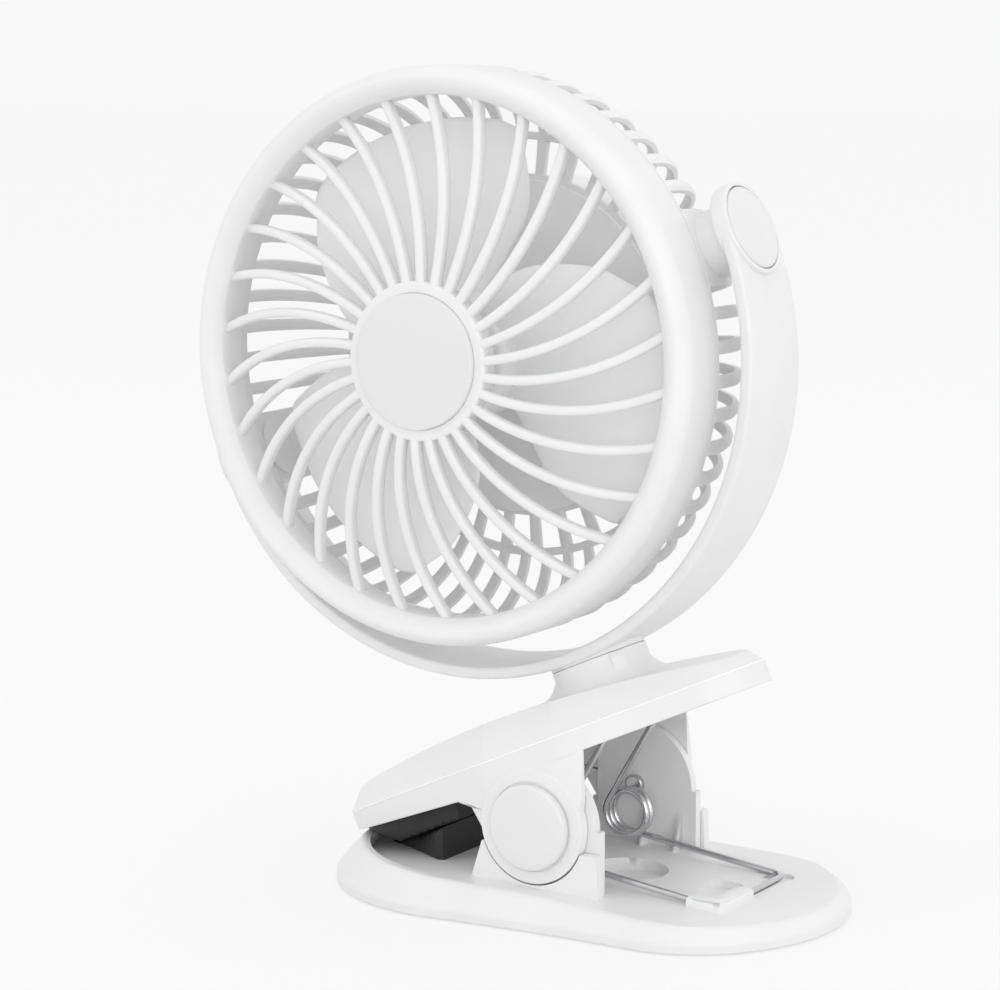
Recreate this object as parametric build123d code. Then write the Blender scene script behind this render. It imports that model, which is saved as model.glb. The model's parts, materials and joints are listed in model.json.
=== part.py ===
from build123d import *
import os
from math import atan2, cos, degrees, hypot, pi, radians, sin, sqrt, tan

# Clip fan: a round cage fan in a U-shaped yoke, on a spring clip with a wide base.
# Millimetres. X runs along the clip (mouth towards -X), Y across it, Z is up.
# The origin is on the surface it stands on, under the clip's hinge axis.
# Two tilted working frames are used: the jaw frame has its origin on the hinge
# axis and leans with the upper jaw, and the head frame is the jaw frame moved to
# the centre of the yoke. In the head frame the fan looks towards -Y.

# ---------------------------------------------------------------- general fits
SHAFT_GAP = 0.05        # radial running clearance of pins and shafts
SLIDE_GAP = 0.30        # clearance between parts that move past each other
SEAT_GAP = 0.30         # radial clearance of a part in its pocket
WALL = 2.4              # moulded wall
SCREW_R = 1.4           # shank of the small screws
SCREW_HEAD_R = 2.75
SCREW_HEAD_H = 1.8
SCREW_HOLE_GAP = 0.2
POST_R = 4.0            # screw posts inside the housings

# ---------------------------------------------------------------- base of clip
BASE_LIFT = 0.4         # rim above the ground, the feet take the load
RIM_TOP = 3.4           # top of the upright rim
FRONT_X = -28.2         # centre of the round front
FRONT_R = 46.0
TAIL_X = 36.0           # centres of the two tail corners
TAIL_Y = 9.0
TAIL_R = 34.0
TAIL_TIP = 73.4
WAIST_R = 400.0         # hollow of the long sides
SKIRT_SLOPE = 42.0      # degrees from the vertical
SKIRT_RISE = 12.0
DECK_Z = 8.8            # deck height at the hinge
DECK_SLOPE = 2.1        # degrees, the deck falls towards the tail
DECK_WALL = 2.4
DISH_INSET = 9.3        # dish in front of the hinge, behind the raised lip
DISH_FRONT_Z = 6.9
DISH_END_X = -21.0
DISH_FRONT_X = -66.0
CUP_X = 12.5            # round recess in the deck
CUP_R = 10.5
CUP_DEPTH = 3.2
TRAY_X = 40.0           # small square recess in the deck
TRAY_LENGTH = 10.0
TRAY_WIDTH = 12.0
TRAY_DEPTH = 2.2
TRAY_CORNER = 3.0
COVER_THICK = 1.6
FOOT_R = 6.5
FOOT_POCKET = 0.8
FOOT_PLACES = ((-52.0, -22.0), (-52.0, 22.0), (52.0, -22.0), (52.0, 22.0), (0.0, 0.0))
BASE_SCREW_X = (-30.0, 30.0)
BASE_SCREW_Y = 33.0

# ---------------------------------------------------------------- hinge
PIVOT_Z = 25.1
JAW_LEAN = 24.0         # degrees, upper jaw above the ground line at rest
JAW_HALF = 31.1         # half width over the hinge
EAR_THICK = 3.0
EAR_FRONT = -18.5
EAR_REAR = 20.2
EAR_TOP = 19.3
EAR_DRAFT = 3.1         # how far the ear's front edge leans back
NOTCH_R = 15.9
FLANGE_R = 15.4
INNER_EAR_R = 17.6
INNER_EAR_FRONT = -12.3
INNER_EAR_THICK = 2.6
GUSSET_X = (3.4, 14.0)
GUSSET_THICK = 1.4
GUSSET_DEPTH = 4.2
GUSSET_HEIGHT = 11.0
STUB_R = 4.0
CAP_R = 11.5
CAP_THICK = 2.8
CAP_GAP = 0.2
CAP_EDGE = 0.7
HINGE_SCREW_LENGTH = 7.0

# ---------------------------------------------------------------- upper jaw
NOSE_U = -47.2          # centre of the round nose, along the jaw
NOSE_R = 24.0
SHOULDER_R = 12.0       # corner circles beside the hinge
SHOULDER_U = (-8.0, 14.0)
JAW_TAIL_U = 49.0
JAW_TAIL_Y = 4.0
JAW_TAIL_R = 13.0
CREASE_W = 20.0         # top of the upright side walls
SHOULDER_SLOPE = 40.0   # degrees, slope of the top's shoulders from the vertical
SHOULDER_RISE = 10.0
CROWN = ((-70.5, 24.2), (0.0, 29.6), (63.0, 22.9))
FRONT_EDGE = ((-75.0, 15.1), (-21.0, 12.5))
REAR_EDGE_W = 14.2
PAD_SEAT_W = 15.0       # underside of the floor that carries the rubber
PAD_SEAT_END = -25.0
FLANGE_FRONT_U = -17.2
FLANGE_FRONT_W = 11.0
FLANGE_REAR_U = 21.8
SADDLE_U = 30.2         # rib that takes the spring's upper ends
SADDLE_THICK = 2.0
SADDLE_HALF = 17.0

# ---------------------------------------------------------------- jaw rubbers
PAD_INSET = 2.7
PAD_W = 7.8             # lower face of the upper rubber, in the jaw frame
PAD_REAR_U = -27.5
PAD_KNEE_U = -50.0
PAD_NOSE_W = 14.2
PAD_NOSE_U = -64.8
LOWER_PAD_R = 21.5
LOWER_PAD_X = -42.0
LOWER_PAD_END = -34.0

# ---------------------------------------------------------------- clip spring
WIRE = 1.8
COIL_R = 6.1            # centre line of the coils
COIL_X = 3.0
COIL_Z = 19.4
COIL_PITCH = 2.35
COIL_TURNS = 2
LEG_Y = 18.9
LEG_TOP_W = 21.5        # upper ends, in the jaw frame
BRIDGE_X = 49.5
BRIDGE_BEND = 3.4
WIRE_SINK = 0.5         # the bridge lies this deep in a groove of the deck
GROOVE_START = 41.0
TAB_START = 41.5
TAB_WALL = 1.1
TAB_TOP = 0.9
TAB_ROUND = 2.4
POCKET_R = 3.6
POCKET_DEPTH = 1.0

# ---------------------------------------------------------------- swivel neck
HEAD_U = 18.6           # centre of the yoke, in the jaw frame
NECK_R = 13.3
NECK_TOP = 35.9
NECK_FLARE = 4.2
NECK_ROOT = 4.0         # depth of the flare under the crown
NECK_BORE_R = 9.0
NECK_BOTTOM = 25.6
STEM_R = 7.4
KEY_WIDTH = 4.6
KEY_HEIGHT = 6.0
KEY_PROUD = 0.8
KEY_ANGLE = -72.0
WASHER_R = 11.0
WASHER_THICK = 1.4
SWIVEL_SCREW_R = 2.0
SWIVEL_SCREW_HEAD_R = 4.0
SWIVEL_SCREW_LENGTH = 11.0

# ---------------------------------------------------------------- front grille
RING_R = 77.2
RING_WALL = 2.2
RING_BACK = -11.2
BEZEL = 7.7             # width of the bezel, seen from the front
OPENING_R = RING_R - BEZEL
BEAD = ((0.0, -24.6), (0.05, -26.6), (0.18, -28.3), (0.42, -29.4), (0.64, -29.1), (0.84, -27.8))
BEAD_HOLLOW = ((0.69, -25.4), (0.47, -26.6), (0.29, -24.6))  # share of the bezel, Y
OPENING_FRONT = -25.9
LIP_BACK = -17.0
LIP_THICK = 2.4
DOME_STEPS = 5
RIBS = 30
RIB_WIDTH = 2.6
RIB_DEPTH = 3.4
RIB_SWIRL = 16.5        # degrees between a rib's inner and outer end
RIB_PHASE = 3.4
DOME_RIM = -24.6        # front of the ribs at the opening
DOME_HUB = -34.4        # front of the ribs at the hub
HUB_RING_R = 21.2
HUB_RING_WALL = 3.1
HUB_RING_DEPTH = 5.5
HUB_FLOOR = 1.6
HUB_CAP_FRONT = -36.0
HUB_CAP_EDGE = 0.8

# ---------------------------------------------------------------- rear cage
CAGE_WALL = 2.4
CAGE_NEST_FRONT = -18.0
CAGE_TURN = -5.0        # where the side starts to bend round to the back
CAGE_SHOULDER = 22.0
CAGE_BACK = 22.0
CAGE_STEPS = 9
DIVIDER_R = 58.0        # ring between the two rows of slots
DIVIDER_WIDTH = 2.2
POD_R = 46.5
LANDING = 3.0           # ring of the cage that the pod screws to
OUTER_SLOTS = 54
OUTER_SLOT = (4.2, 5.8) # widths at the divider and at the side
INNER_SLOTS = 36
INNER_SLOT = (5.4, 6.6) # widths at the pod and at the divider
SLOT_LAND = 0.5
TILT_BOSS_R = 9.0

# ---------------------------------------------------------------- yoke
YOKE_GAP = 7.6          # air between the ring and the bow
YOKE_THICK = 3.4
YOKE_R = RING_R + YOKE_GAP + YOKE_THICK
YOKE_HALF = 13.9
YOKE_FOOT = 0.5         # bow above the top of the neck
HEAD_W = NECK_TOP + YOKE_FOOT + YOKE_R
END_R = 12.7
END_THICK = 4.8
END_FACE = YOKE_R + 0.6 # outer face of the arm ends, from the head's centre
END_INNER = END_FACE - END_THICK
BUTTON_R = 11.2         # round covers of the tilt pivots
BUTTON_RECESS = 2.2
BUTTON_PROUD = 0.4
TILT_STUB_R = 5.0
TILT_WASHER_R = 8.0
TILT_WASHER_THICK = 0.5

# ---------------------------------------------------------------- rear pod
PLATE_THICK = 2.4
POD_BACK = 49.0
POD_CORNER = 7.0
SCREW_RING_R = 36.0
SCREW_ANGLES = (76.0, 176.0, 276.0)
SCREW_WELL_R = 3.4
CELL_R = 9.2
CELL_LENGTH = 65.0
CELL_Z = -16.0
CELL_CAP_R = 2.8
CELL_CAP_H = 1.0
BOARD_SIZE = (46.0, 1.6, 20.0)
BOARD_Z = 18.0
SWITCH_SIDE = 6.0
SWITCH_H = 1.2
BUTTON_Z = 20.0
PRESS_R = 5.0
PRESS_TRAVEL = 0.8
PRESS_PROUD = 0.9
PRESS_FLANGE = 1.0
PRESS_FLANGE_H = 0.8
USB_X = -15.0
USB_WIDTH = 8.9
USB_HEIGHT = 3.2
USB_LENGTH = 7.0
USB_TONGUE = (6.6, 0.7)
LED_COUNT = 4
LED_PITCH = 4.0
LED_R = 1.0
LED_X = 9.5

# ---------------------------------------------------------------- motor
CAN_R = 12.1
CAN_WALL = 0.8
CAN_FRONT = 3.0
CAN_BACK = 25.0
CUP_WALL = 2.0
CUP_FRONT = 5.0
MAGNET_WALL = 2.0
ROTOR_R = 8.6
ROTOR_HALF = 6.0
BEARING_R = 3.2
BEARING_H = 2.2
SHAFT_R = 1.5
SHAFT_FRONT = -19.0

# ---------------------------------------------------------------- impeller
BLADES = 3
BLADE_R = 63.4
BLADE_THICK = 1.6
BLADE_FRONT = -19.5     # leading edge at the hub
BLADE_REAR = -5.5       # trailing edge
BLADE_LEAD = 154.0      # degrees, first blade at rest
BLADE_TRAIL = 43.0
LEAD_EDGE = ((0.53, 142.5), (0.78, 127.0), (0.91, 117.5))   # share of the radius, degrees
TRAIL_EDGE = ((0.95, 51.0), (0.70, 43.0))
TIP_SPAN = (106.0, 60.0)
BLADE_ROOT_TRAIL = 52.0
IMPELLER_HUB_R = 17.0
IMPELLER_HUB_FRONT = -18.0
IMPELLER_HUB_BACK = -1.0
IMPELLER_WALL = 1.8
IMPELLER_BOSS_R = 4.0
NUT_R = 3.4
NUT_H = 2.6

PIVOT = (0.0, 0.0, PIVOT_Z)


# ======================================================================= helpers
def block(x0, x1, y0, y1, z0, z1):
    """A box between two opposite corners."""
    centre = Pos((x0 + x1) / 2, (y0 + y1) / 2, (z0 + z1) / 2)
    return centre * Box(abs(x1 - x0), abs(y1 - y0), abs(z1 - z0))


def rod_x(radius, x0, x1, y=0.0, z=0.0):
    """A cylinder along X."""
    return Pos((x0 + x1) / 2, y, z) * Rot(0, 90, 0) * Cylinder(radius, abs(x1 - x0))


def rod_y(radius, y0, y1, x=0.0, z=0.0):
    """A cylinder along Y."""
    return Pos(x, (y0 + y1) / 2, z) * Rot(90, 0, 0) * Cylinder(radius, abs(y1 - y0))


def rod_z(radius, z0, z1, x=0.0, y=0.0):
    """A cylinder along Z."""
    return Pos(x, y, (z0 + z1) / 2) * Cylinder(radius, abs(z1 - z0))


def prism_y(points, half):
    """A side profile in X and Z, drawn out to both sides of Y = 0."""
    face = make_face(Polyline(*[(x, 0, z) for x, z in points], close=True))
    return extrude(face, amount=half, dir=(0, 1, 0), both=True)


def turned(points):
    """A profile of radius and Y, turned round the Y axis."""
    face = make_face(Polyline(*[(r, y, 0) for r, y in points], close=True))
    return revolve(face, Axis.Y)


def polar(radius, angle, y=0.0):
    """A point at an angle round the Y axis, seen with X to the right and Z up."""
    return (radius * cos(radians(angle)), y, radius * sin(radians(angle)))


def about_y(angle):
    """A turn round Y that takes X towards Z for a positive angle."""
    return Rot(0, -angle, 0)


def in_jaw_frame(part):
    """Moves a part from the jaw frame to its place on the clip."""
    return Pos(*PIVOT) * about_y(JAW_LEAN) * part


def in_head_frame(part):
    """Moves a part from the head frame to its place in the yoke."""
    return in_jaw_frame(Pos(HEAD_U, 0, HEAD_W) * part)


def jaw_to_row(u, w):
    """X and Z of a point of the jaw frame."""
    lean = radians(JAW_LEAN)
    return (u * cos(lean) - w * sin(lean), PIVOT_Z + u * sin(lean) + w * cos(lean))


def unit(x, y):
    """A direction of length one."""
    length = hypot(x, y)
    return (x / length, y / length)


# ==================================================================== clip base
def tail_arc():
    """Centre and radius of the broad arc that closes the tail."""
    reach = TAIL_TIP - TAIL_R
    centre = (reach ** 2 - TAIL_X ** 2 - TAIL_Y ** 2) / (2 * (reach - TAIL_X))
    return centre, TAIL_TIP - centre


def waist_centre():
    """Centre of the hollow arc that touches the front round and a tail corner."""
    to_front = WAIST_R + FRONT_R
    to_tail = WAIST_R + TAIL_R
    dx, dy = TAIL_X - FRONT_X, TAIL_Y
    span = hypot(dx, dy)
    along = (to_front ** 2 - to_tail ** 2 + span ** 2) / (2 * span)
    aside = sqrt(to_front ** 2 - along ** 2)
    ex, ey = unit(dx, dy)
    return (FRONT_X + along * ex - aside * ey, along * ey + aside * ex)


def base_outline(inset):
    """Plan of the base, drawn in by inset: round front, hollow sides, broad tail."""
    end_x, end_r = tail_arc()
    wx, wy = waist_centre()
    front_dir = unit(wx - FRONT_X, wy)
    tail_dir = unit(wx - TAIL_X, wy - TAIL_Y)
    end_dir = unit(TAIL_X - end_x, TAIL_Y)
    waist_dir = unit(front_dir[0] + tail_dir[0], front_dir[1] + tail_dir[1])
    corner_dir = unit(tail_dir[0] + end_dir[0], tail_dir[1] + end_dir[1])
    front_r, corner_r, hollow_r = FRONT_R - inset, TAIL_R - inset, WAIST_R + inset
    front = (FRONT_X + front_r * front_dir[0], front_r * front_dir[1])
    waist = (wx - hollow_r * waist_dir[0], wy - hollow_r * waist_dir[1])
    side = (TAIL_X + corner_r * tail_dir[0], TAIL_Y + corner_r * tail_dir[1])
    corner = (TAIL_X + corner_r * corner_dir[0], TAIL_Y + corner_r * corner_dir[1])
    end = (end_x + (end_r - inset) * end_dir[0], (end_r - inset) * end_dir[1])
    nose = (FRONT_X - front_r, 0)
    tip = (TAIL_TIP - inset, 0)

    def other(point):
        return (point[0], -point[1])

    edges = [
        ThreePointArc(other(front), nose, front),
        ThreePointArc(front, waist, side),
        ThreePointArc(side, corner, end),
        ThreePointArc(end, tip, other(end)),
        ThreePointArc(other(end), other(corner), other(side)),
        ThreePointArc(other(side), other(waist), other(front)),
    ]
    return make_face(edges)


def deck_z(x, below=0.0):
    """Height of the deck at a place along the base, or of a plane under it."""
    return DECK_Z - below - x * tan(radians(DECK_SLOPE))


def under_deck(below=0.0):
    """Everything under the deck plane."""
    far = 90.0
    return prism_y([(-far, -1), (far, -1), (far, deck_z(far, below)), (-far, deck_z(-far, below))], far)


def dish_floor(x):
    """Height of the dish's floor, which rises to meet the deck."""
    rise = (deck_z(DISH_END_X) - DISH_FRONT_Z) / (DISH_END_X - DISH_FRONT_X)
    return DISH_FRONT_Z + rise * (x - DISH_FRONT_X)


def above_dish(lift=0.0):
    """Everything over the dish's floor, as far back as the dish goes."""
    high = 40.0
    front, rear = DISH_FRONT_X - 12, DISH_END_X
    corners = [(front, dish_floor(front) + lift), (rear, dish_floor(rear) + lift), (rear, high), (front, high)]
    return prism_y(corners, FRONT_R)


def base_mound(inset):
    """Upright rim with the sloping skirt over it, carried up past the deck."""
    rim = extrude(Pos(0, 0, BASE_LIFT) * base_outline(inset), amount=RIM_TOP - BASE_LIFT)
    narrow = inset + SKIRT_RISE * tan(radians(SKIRT_SLOPE))
    edge = Pos(0, 0, RIM_TOP) * base_outline(inset)
    ridge = Pos(0, 0, RIM_TOP + SKIRT_RISE) * base_outline(narrow)
    return rim + loft([edge, ridge], ruled=True)


def base_shell():
    """Rim, sloping skirt and deck, open underneath, with the dish and recesses."""
    body = base_mound(0) & under_deck()
    inside = base_mound(WALL) & under_deck(DECK_WALL)
    inside -= above_dish(-DECK_WALL)
    inside -= rod_z(CUP_R + WALL, deck_z(CUP_X) - CUP_DEPTH - WALL, deck_z(CUP_X), CUP_X)
    tray_floor = deck_z(TRAY_X) - TRAY_DEPTH
    inside -= Pos(TRAY_X, 0, tray_floor) * Box(TRAY_LENGTH + 2 * WALL, TRAY_WIDTH + 2 * WALL, 2 * WALL)
    body -= inside
    dish = extrude(base_outline(DISH_INSET), amount=30) & above_dish()
    body -= dish
    body -= rod_z(CUP_R, deck_z(CUP_X) - CUP_DEPTH, 2 * DECK_Z, CUP_X)
    tray = extrude(Pos(TRAY_X, 0, tray_floor) * RectangleRounded(TRAY_LENGTH, TRAY_WIDTH, TRAY_CORNER), amount=DECK_Z)
    body -= tray
    return body


def base_posts():
    """Screw posts under the deck that take the bottom cover."""
    bottom = BASE_LIFT + COVER_THICK
    posts = []
    for x in BASE_SCREW_X:
        for y in (-BASE_SCREW_Y, BASE_SCREW_Y):
            post = rod_z(POST_R - 0.8, bottom, deck_z(x, DECK_WALL / 2), x, y)
            posts.append(post & under_deck(DECK_WALL / 2))
    return posts


def base_screw_holes(radius, top):
    """Holes in the line of the cover screws."""
    return [rod_z(radius, -1, top, x, y) for x in BASE_SCREW_X for y in (-BASE_SCREW_Y, BASE_SCREW_Y)]


def outer_ear(side):
    """Outer plate of a hinge ear, with the round notch that the jaw's flange sits in."""
    points = [
        (EAR_FRONT, RIM_TOP), (EAR_FRONT, deck_z(EAR_FRONT)), (EAR_FRONT + EAR_DRAFT, EAR_TOP),
        (EAR_REAR - 0.6, EAR_TOP), (EAR_REAR, deck_z(EAR_REAR)), (EAR_REAR, RIM_TOP),
    ]
    plate = prism_y(points, EAR_THICK / 2)
    plate = Pos(0, side * (JAW_HALF - EAR_THICK / 2), 0) * plate
    return plate - rod_y(NOTCH_R, -JAW_HALF - 1, JAW_HALF + 1, 0, PIVOT_Z)


def inner_ear(side):
    """Inner plate that carries the hinge stub, braced by gussets."""
    outer_y = JAW_HALF - EAR_THICK - SLIDE_GAP
    inner_y = outer_y - INNER_EAR_THICK
    plate = rod_y(INNER_EAR_R, inner_y, outer_y, 0, PIVOT_Z)
    plate += block(-INNER_EAR_R, EAR_REAR - 1.2, inner_y, outer_y, RIM_TOP, PIVOT_Z)
    plate &= block(INNER_EAR_FRONT, EAR_REAR, inner_y, outer_y, RIM_TOP, PIVOT_Z + INNER_EAR_R + 1)
    root = block(INNER_EAR_FRONT, EAR_REAR - 1.2, inner_y, JAW_HALF - 0.5, RIM_TOP, deck_z(0) - 0.9)
    for x in GUSSET_X:
        foot = deck_z(x) - 1
        rib = make_face(Polyline((0, inner_y + 0.1, foot), (0, inner_y - GUSSET_DEPTH, foot),
                                 (0, inner_y + 0.1, foot + GUSSET_HEIGHT + 1), close=True))
        plate += Pos(x, 0, 0) * extrude(rib, amount=GUSSET_THICK / 2, dir=(1, 0, 0), both=True)
    plate += root
    plate -= rod_y(SCREW_R + SCREW_HOLE_GAP, inner_y - 1, outer_y + 1, 0, PIVOT_Z)
    return plate if side > 0 else mirror(plate, Plane.XZ)


def wire_z(x):
    """Height of the spring's lower legs, straight from the coils to the bridge."""
    start = COIL_Z - COIL_R
    end = deck_z(BRIDGE_X) + WIRE / 2 - WIRE_SINK
    return start + (end - start) * (x - COIL_X) / (BRIDGE_X - COIL_X)


def wire_groove():
    """Shallow grooves in the deck for the bridge and the ends of the lower legs."""
    reach = WIRE / 2 + SEAT_GAP
    low = deck_z(BRIDGE_X) - WIRE_SINK - SEAT_GAP / 2
    high = DECK_Z + WIRE
    cuts = [block(BRIDGE_X - reach, BRIDGE_X + reach, -LEG_Y - reach, LEG_Y + reach, low, high)]
    bend = BRIDGE_BEND + reach
    for side in (-1, 1):
        cuts.append(block(GROOVE_START, BRIDGE_X + reach, side * (LEG_Y - reach), side * (LEG_Y + reach), low, high))
        cuts.append(block(BRIDGE_X - bend, BRIDGE_X, side * LEG_Y, side * (LEG_Y - bend), low, high))
    return cuts


def wire_tab():
    """Low moulded lip over the spring's near corner."""
    top = wire_z(BRIDGE_X) + WIRE / 2 + SEAT_GAP + TAB_TOP
    reach = WIRE / 2 + SEAT_GAP
    outside_x = BRIDGE_X + reach + TAB_WALL
    outside_y = -LEG_Y - reach - TAB_WALL
    tab = block(TAB_START, outside_x, outside_y, -LEG_Y + reach + TAB_WALL, RIM_TOP + 2, top)
    tab += block(BRIDGE_X - reach - TAB_WALL, outside_x, outside_y, -TAB_WALL * 4, RIM_TOP + 2, top)
    corners = tab.edges().filter_by(Axis.Z).sort_by(Axis.Y)
    tab = fillet(corners[0:2], TAB_ROUND)
    channel_top = top - TAB_TOP
    rise = wire_z(TAB_START) - wire_z(BRIDGE_X)
    low = RIM_TOP + 1
    tab -= block(TAB_START - 1, BRIDGE_X + reach, -LEG_Y - reach, -LEG_Y + reach, low, channel_top + rise)
    tab -= block(BRIDGE_X - reach, BRIDGE_X + reach, -LEG_Y - reach, 0, low, channel_top)
    bend = BRIDGE_BEND + reach
    tab -= block(BRIDGE_X - bend, BRIDGE_X, -LEG_Y, -LEG_Y + bend, low, channel_top)
    return tab


def make_lower_jaw():
    """The clip's base with its hinge ears, as one moulding."""
    body = base_shell()
    body += base_posts()
    for side in (-1, 1):
        body += outer_ear(side)
        body += inner_ear(side)
    body -= wire_groove()
    body += wire_tab()
    for hole in base_screw_holes(SCREW_R - 0.1, BASE_LIFT + COVER_THICK + 4):
        body -= hole
    pocket_top = deck_z(BRIDGE_X) + 2
    body -= rod_z(POCKET_R, deck_z(BRIDGE_X) - POCKET_DEPTH, pocket_top, BRIDGE_X - 0.6, LEG_Y - 0.6)
    return body


def make_base_cover():
    """Plate that closes the base from below, with pockets for the feet."""
    plate = extrude(Pos(0, 0, BASE_LIFT) * base_outline(WALL + SEAT_GAP), amount=COVER_THICK)
    for x, y in FOOT_PLACES:
        plate -= rod_z(FOOT_R + SHAFT_GAP, 0, BASE_LIFT + FOOT_POCKET, x, y)
    for hole in base_screw_holes(SCREW_R + SCREW_HOLE_GAP, 10):
        plate -= hole
    for hole in base_screw_holes(SCREW_HEAD_R + SCREW_HOLE_GAP, BASE_LIFT + COVER_THICK / 2):
        plate -= hole
    return plate


def make_feet():
    """Rubber feet near the corners and one in the middle, set in the bottom cover."""
    top = BASE_LIFT + FOOT_POCKET
    return [rod_z(FOOT_R, 0, top, x, y) for x, y in FOOT_PLACES]


def make_base_screws():
    """Four screws that hold the bottom cover."""
    seat = BASE_LIFT + COVER_THICK / 2
    head_low = BASE_LIFT + 0.05
    shank_top = BASE_LIFT + COVER_THICK + 3.5
    screws = []
    for x in BASE_SCREW_X:
        for y in (-BASE_SCREW_Y, BASE_SCREW_Y):
            head = rod_z(SCREW_HEAD_R, head_low, seat, x, y)
            screws.append(head + rod_z(SCREW_R - 0.15, seat - 0.1, shank_top, x, y))
    return screws


def make_lower_pad():
    """Rubber wedge in the dish; its top lies along the upper rubber."""
    outline = Pos(LOWER_PAD_X, 0, 0) * Circle(LOWER_PAD_R)
    outline += Pos((LOWER_PAD_X + LOWER_PAD_END) / 2, 0) * Rectangle(LOWER_PAD_END - LOWER_PAD_X, 2 * LOWER_PAD_R)
    solid = extrude(outline, amount=40) & above_dish()
    far = 2 * LOWER_PAD_R
    solid &= block(LOWER_PAD_X - far, LOWER_PAD_END, -far, far, 0, far)
    low, high = 2 * LOWER_PAD_X, 0.0
    top = PAD_W - SLIDE_GAP
    mate = [jaw_to_row(low, top), jaw_to_row(high, top), jaw_to_row(high, low), jaw_to_row(low, low)]
    solid &= prism_y(mate, far)
    return solid


def make_hinge_cap(side):
    """Round cover of the hinge; its stub is the pin that the upper jaw turns on."""
    face = JAW_HALF + CAP_GAP
    stub_end = JAW_HALF - EAR_THICK - SLIDE_GAP
    disc = rod_y(CAP_R, face, face + CAP_THICK, 0, PIVOT_Z)
    disc = fillet(disc.edges().group_by(Axis.Y)[-1], CAP_EDGE)
    cap = disc + rod_y(STUB_R, stub_end, face + 0.5, 0, PIVOT_Z)
    cap -= rod_y(SCREW_R + SHAFT_GAP, stub_end - 1, stub_end + HINGE_SCREW_LENGTH - INNER_EAR_THICK, 0, PIVOT_Z)
    return cap if side > 0 else mirror(cap, Plane.XZ)


def make_hinge_screws():
    """Screws from inside the ears into the stubs."""
    seat = JAW_HALF - EAR_THICK - SLIDE_GAP - INNER_EAR_THICK
    head = rod_y(SCREW_HEAD_R, seat - SCREW_HEAD_H, seat, 0, PIVOT_Z)
    head = fillet(head.edges().group_by(Axis.Y)[0], 0.6)
    screw = head + rod_y(SCREW_R, seat - 0.1, seat + HINGE_SCREW_LENGTH - 0.6, 0, PIVOT_Z)
    return [screw, mirror(screw, Plane.XZ)]


# ================================================================== clip spring
def spring_geometry():
    """Angles at which the lower and upper legs leave a coil, seen along Y."""
    end = wire_z(BRIDGE_X)
    dx, dz = BRIDGE_X - COIL_X, end - COIL_Z
    reach = hypot(dx, dz)
    leg_angle = atan2(dz, dx) - (pi / 2 - atan2(COIL_R, sqrt(reach ** 2 - COIL_R ** 2)))
    saddle_x, saddle_z = jaw_to_row(SADDLE_U - WIRE / 2, LEG_TOP_W)
    ux, uz = saddle_x - COIL_X, saddle_z - COIL_Z
    up_reach = hypot(ux, uz)
    up_angle = atan2(uz, ux) + (pi / 2 - atan2(COIL_R, sqrt(up_reach ** 2 - COIL_R ** 2)))
    return leg_angle, up_angle, (saddle_x, saddle_z)


def coil_point(angle, y):
    """A point of a coil's centre line."""
    return (COIL_X + COIL_R * cos(angle), y, COIL_Z + COIL_R * sin(angle))


def half_turn_arcs(start_angle, end_angle, y0, y1):
    """Arcs of at most a quarter turn that wind clockwise and step across evenly."""
    sweep_angle = start_angle - end_angle
    count = max(1, round(sweep_angle / (pi / 2)))
    arcs = []
    for index in range(count):
        a0 = start_angle - sweep_angle * index / count
        a1 = start_angle - sweep_angle * (index + 1) / count
        b0 = y0 + (y1 - y0) * index / count
        b1 = y0 + (y1 - y0) * (index + 1) / count
        middle = coil_point((a0 + a1) / 2, (b0 + b1) / 2)
        arcs.append(ThreePointArc(coil_point(a0, b0), middle, coil_point(a1, b1)))
    return arcs


def spring_half():
    """Edges of the +Y half of the spring, from the bridge's middle to the upper end."""
    leg_angle, up_angle, saddle = spring_geometry()
    low = wire_z(BRIDGE_X)
    bend = BRIDGE_BEND
    leave = coil_point(leg_angle, LEG_Y)
    toward = unit(leave[0] - BRIDGE_X, leave[2] - low)
    corner_in = (BRIDGE_X, LEG_Y - bend, low)
    corner_out = (BRIDGE_X + bend * toward[0], LEG_Y, low + bend * toward[1])
    share = 1 - sqrt(0.5)
    corner_mid = (BRIDGE_X + share * bend * toward[0], LEG_Y - share * bend, low + share * bend * toward[1])
    turns = COIL_TURNS * 2 * pi + (leg_angle % (2 * pi)) - up_angle
    inner_y = LEG_Y - COIL_PITCH * turns / (2 * pi)
    end_angle = leg_angle - turns
    arcs = half_turn_arcs(leg_angle, end_angle, LEG_Y, inner_y)
    edges = [Line((BRIDGE_X, 0, low), corner_in)]
    edges.append(ThreePointArc(corner_in, corner_mid, corner_out))
    edges.append(Line(corner_out, leave))
    edges += arcs
    edges.append(Line(coil_point(end_angle, inner_y), (saddle[0], inner_y, saddle[1])))
    return edges, inner_y


def least_self_gap(wire):
    """Smallest free gap between turns, measured between points along the wire."""
    count = 900
    points = [wire.position_at(i / count) for i in range(count + 1)]
    step = wire.length / count
    skip = int(3.2 * WIRE / step) + 1
    least = 1e9
    for i in range(0, count + 1, 2):
        for j in range(i + skip, count + 1):
            least = min(least, (points[i] - points[j]).length)
    return least - WIRE


def make_clip_spring():
    """Double torsion spring of one wire: two coils, two upper legs and a bridge."""
    edges, _ = spring_half()
    path = Wire(edges)
    profile = Plane(origin=edges[0] @ 0, x_dir=(1, 0, 0), z_dir=(0, 1, 0)) * Circle(WIRE / 2)
    half = sweep(profile, path=path)
    print("spring: least gap between turns", round(least_self_gap(path), 3), "mm")
    length = path.length
    print("spring: volume ratio", round(half.volume / (length * pi * WIRE ** 2 / 4), 4))
    return half + mirror(half, Plane.XZ)


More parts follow.
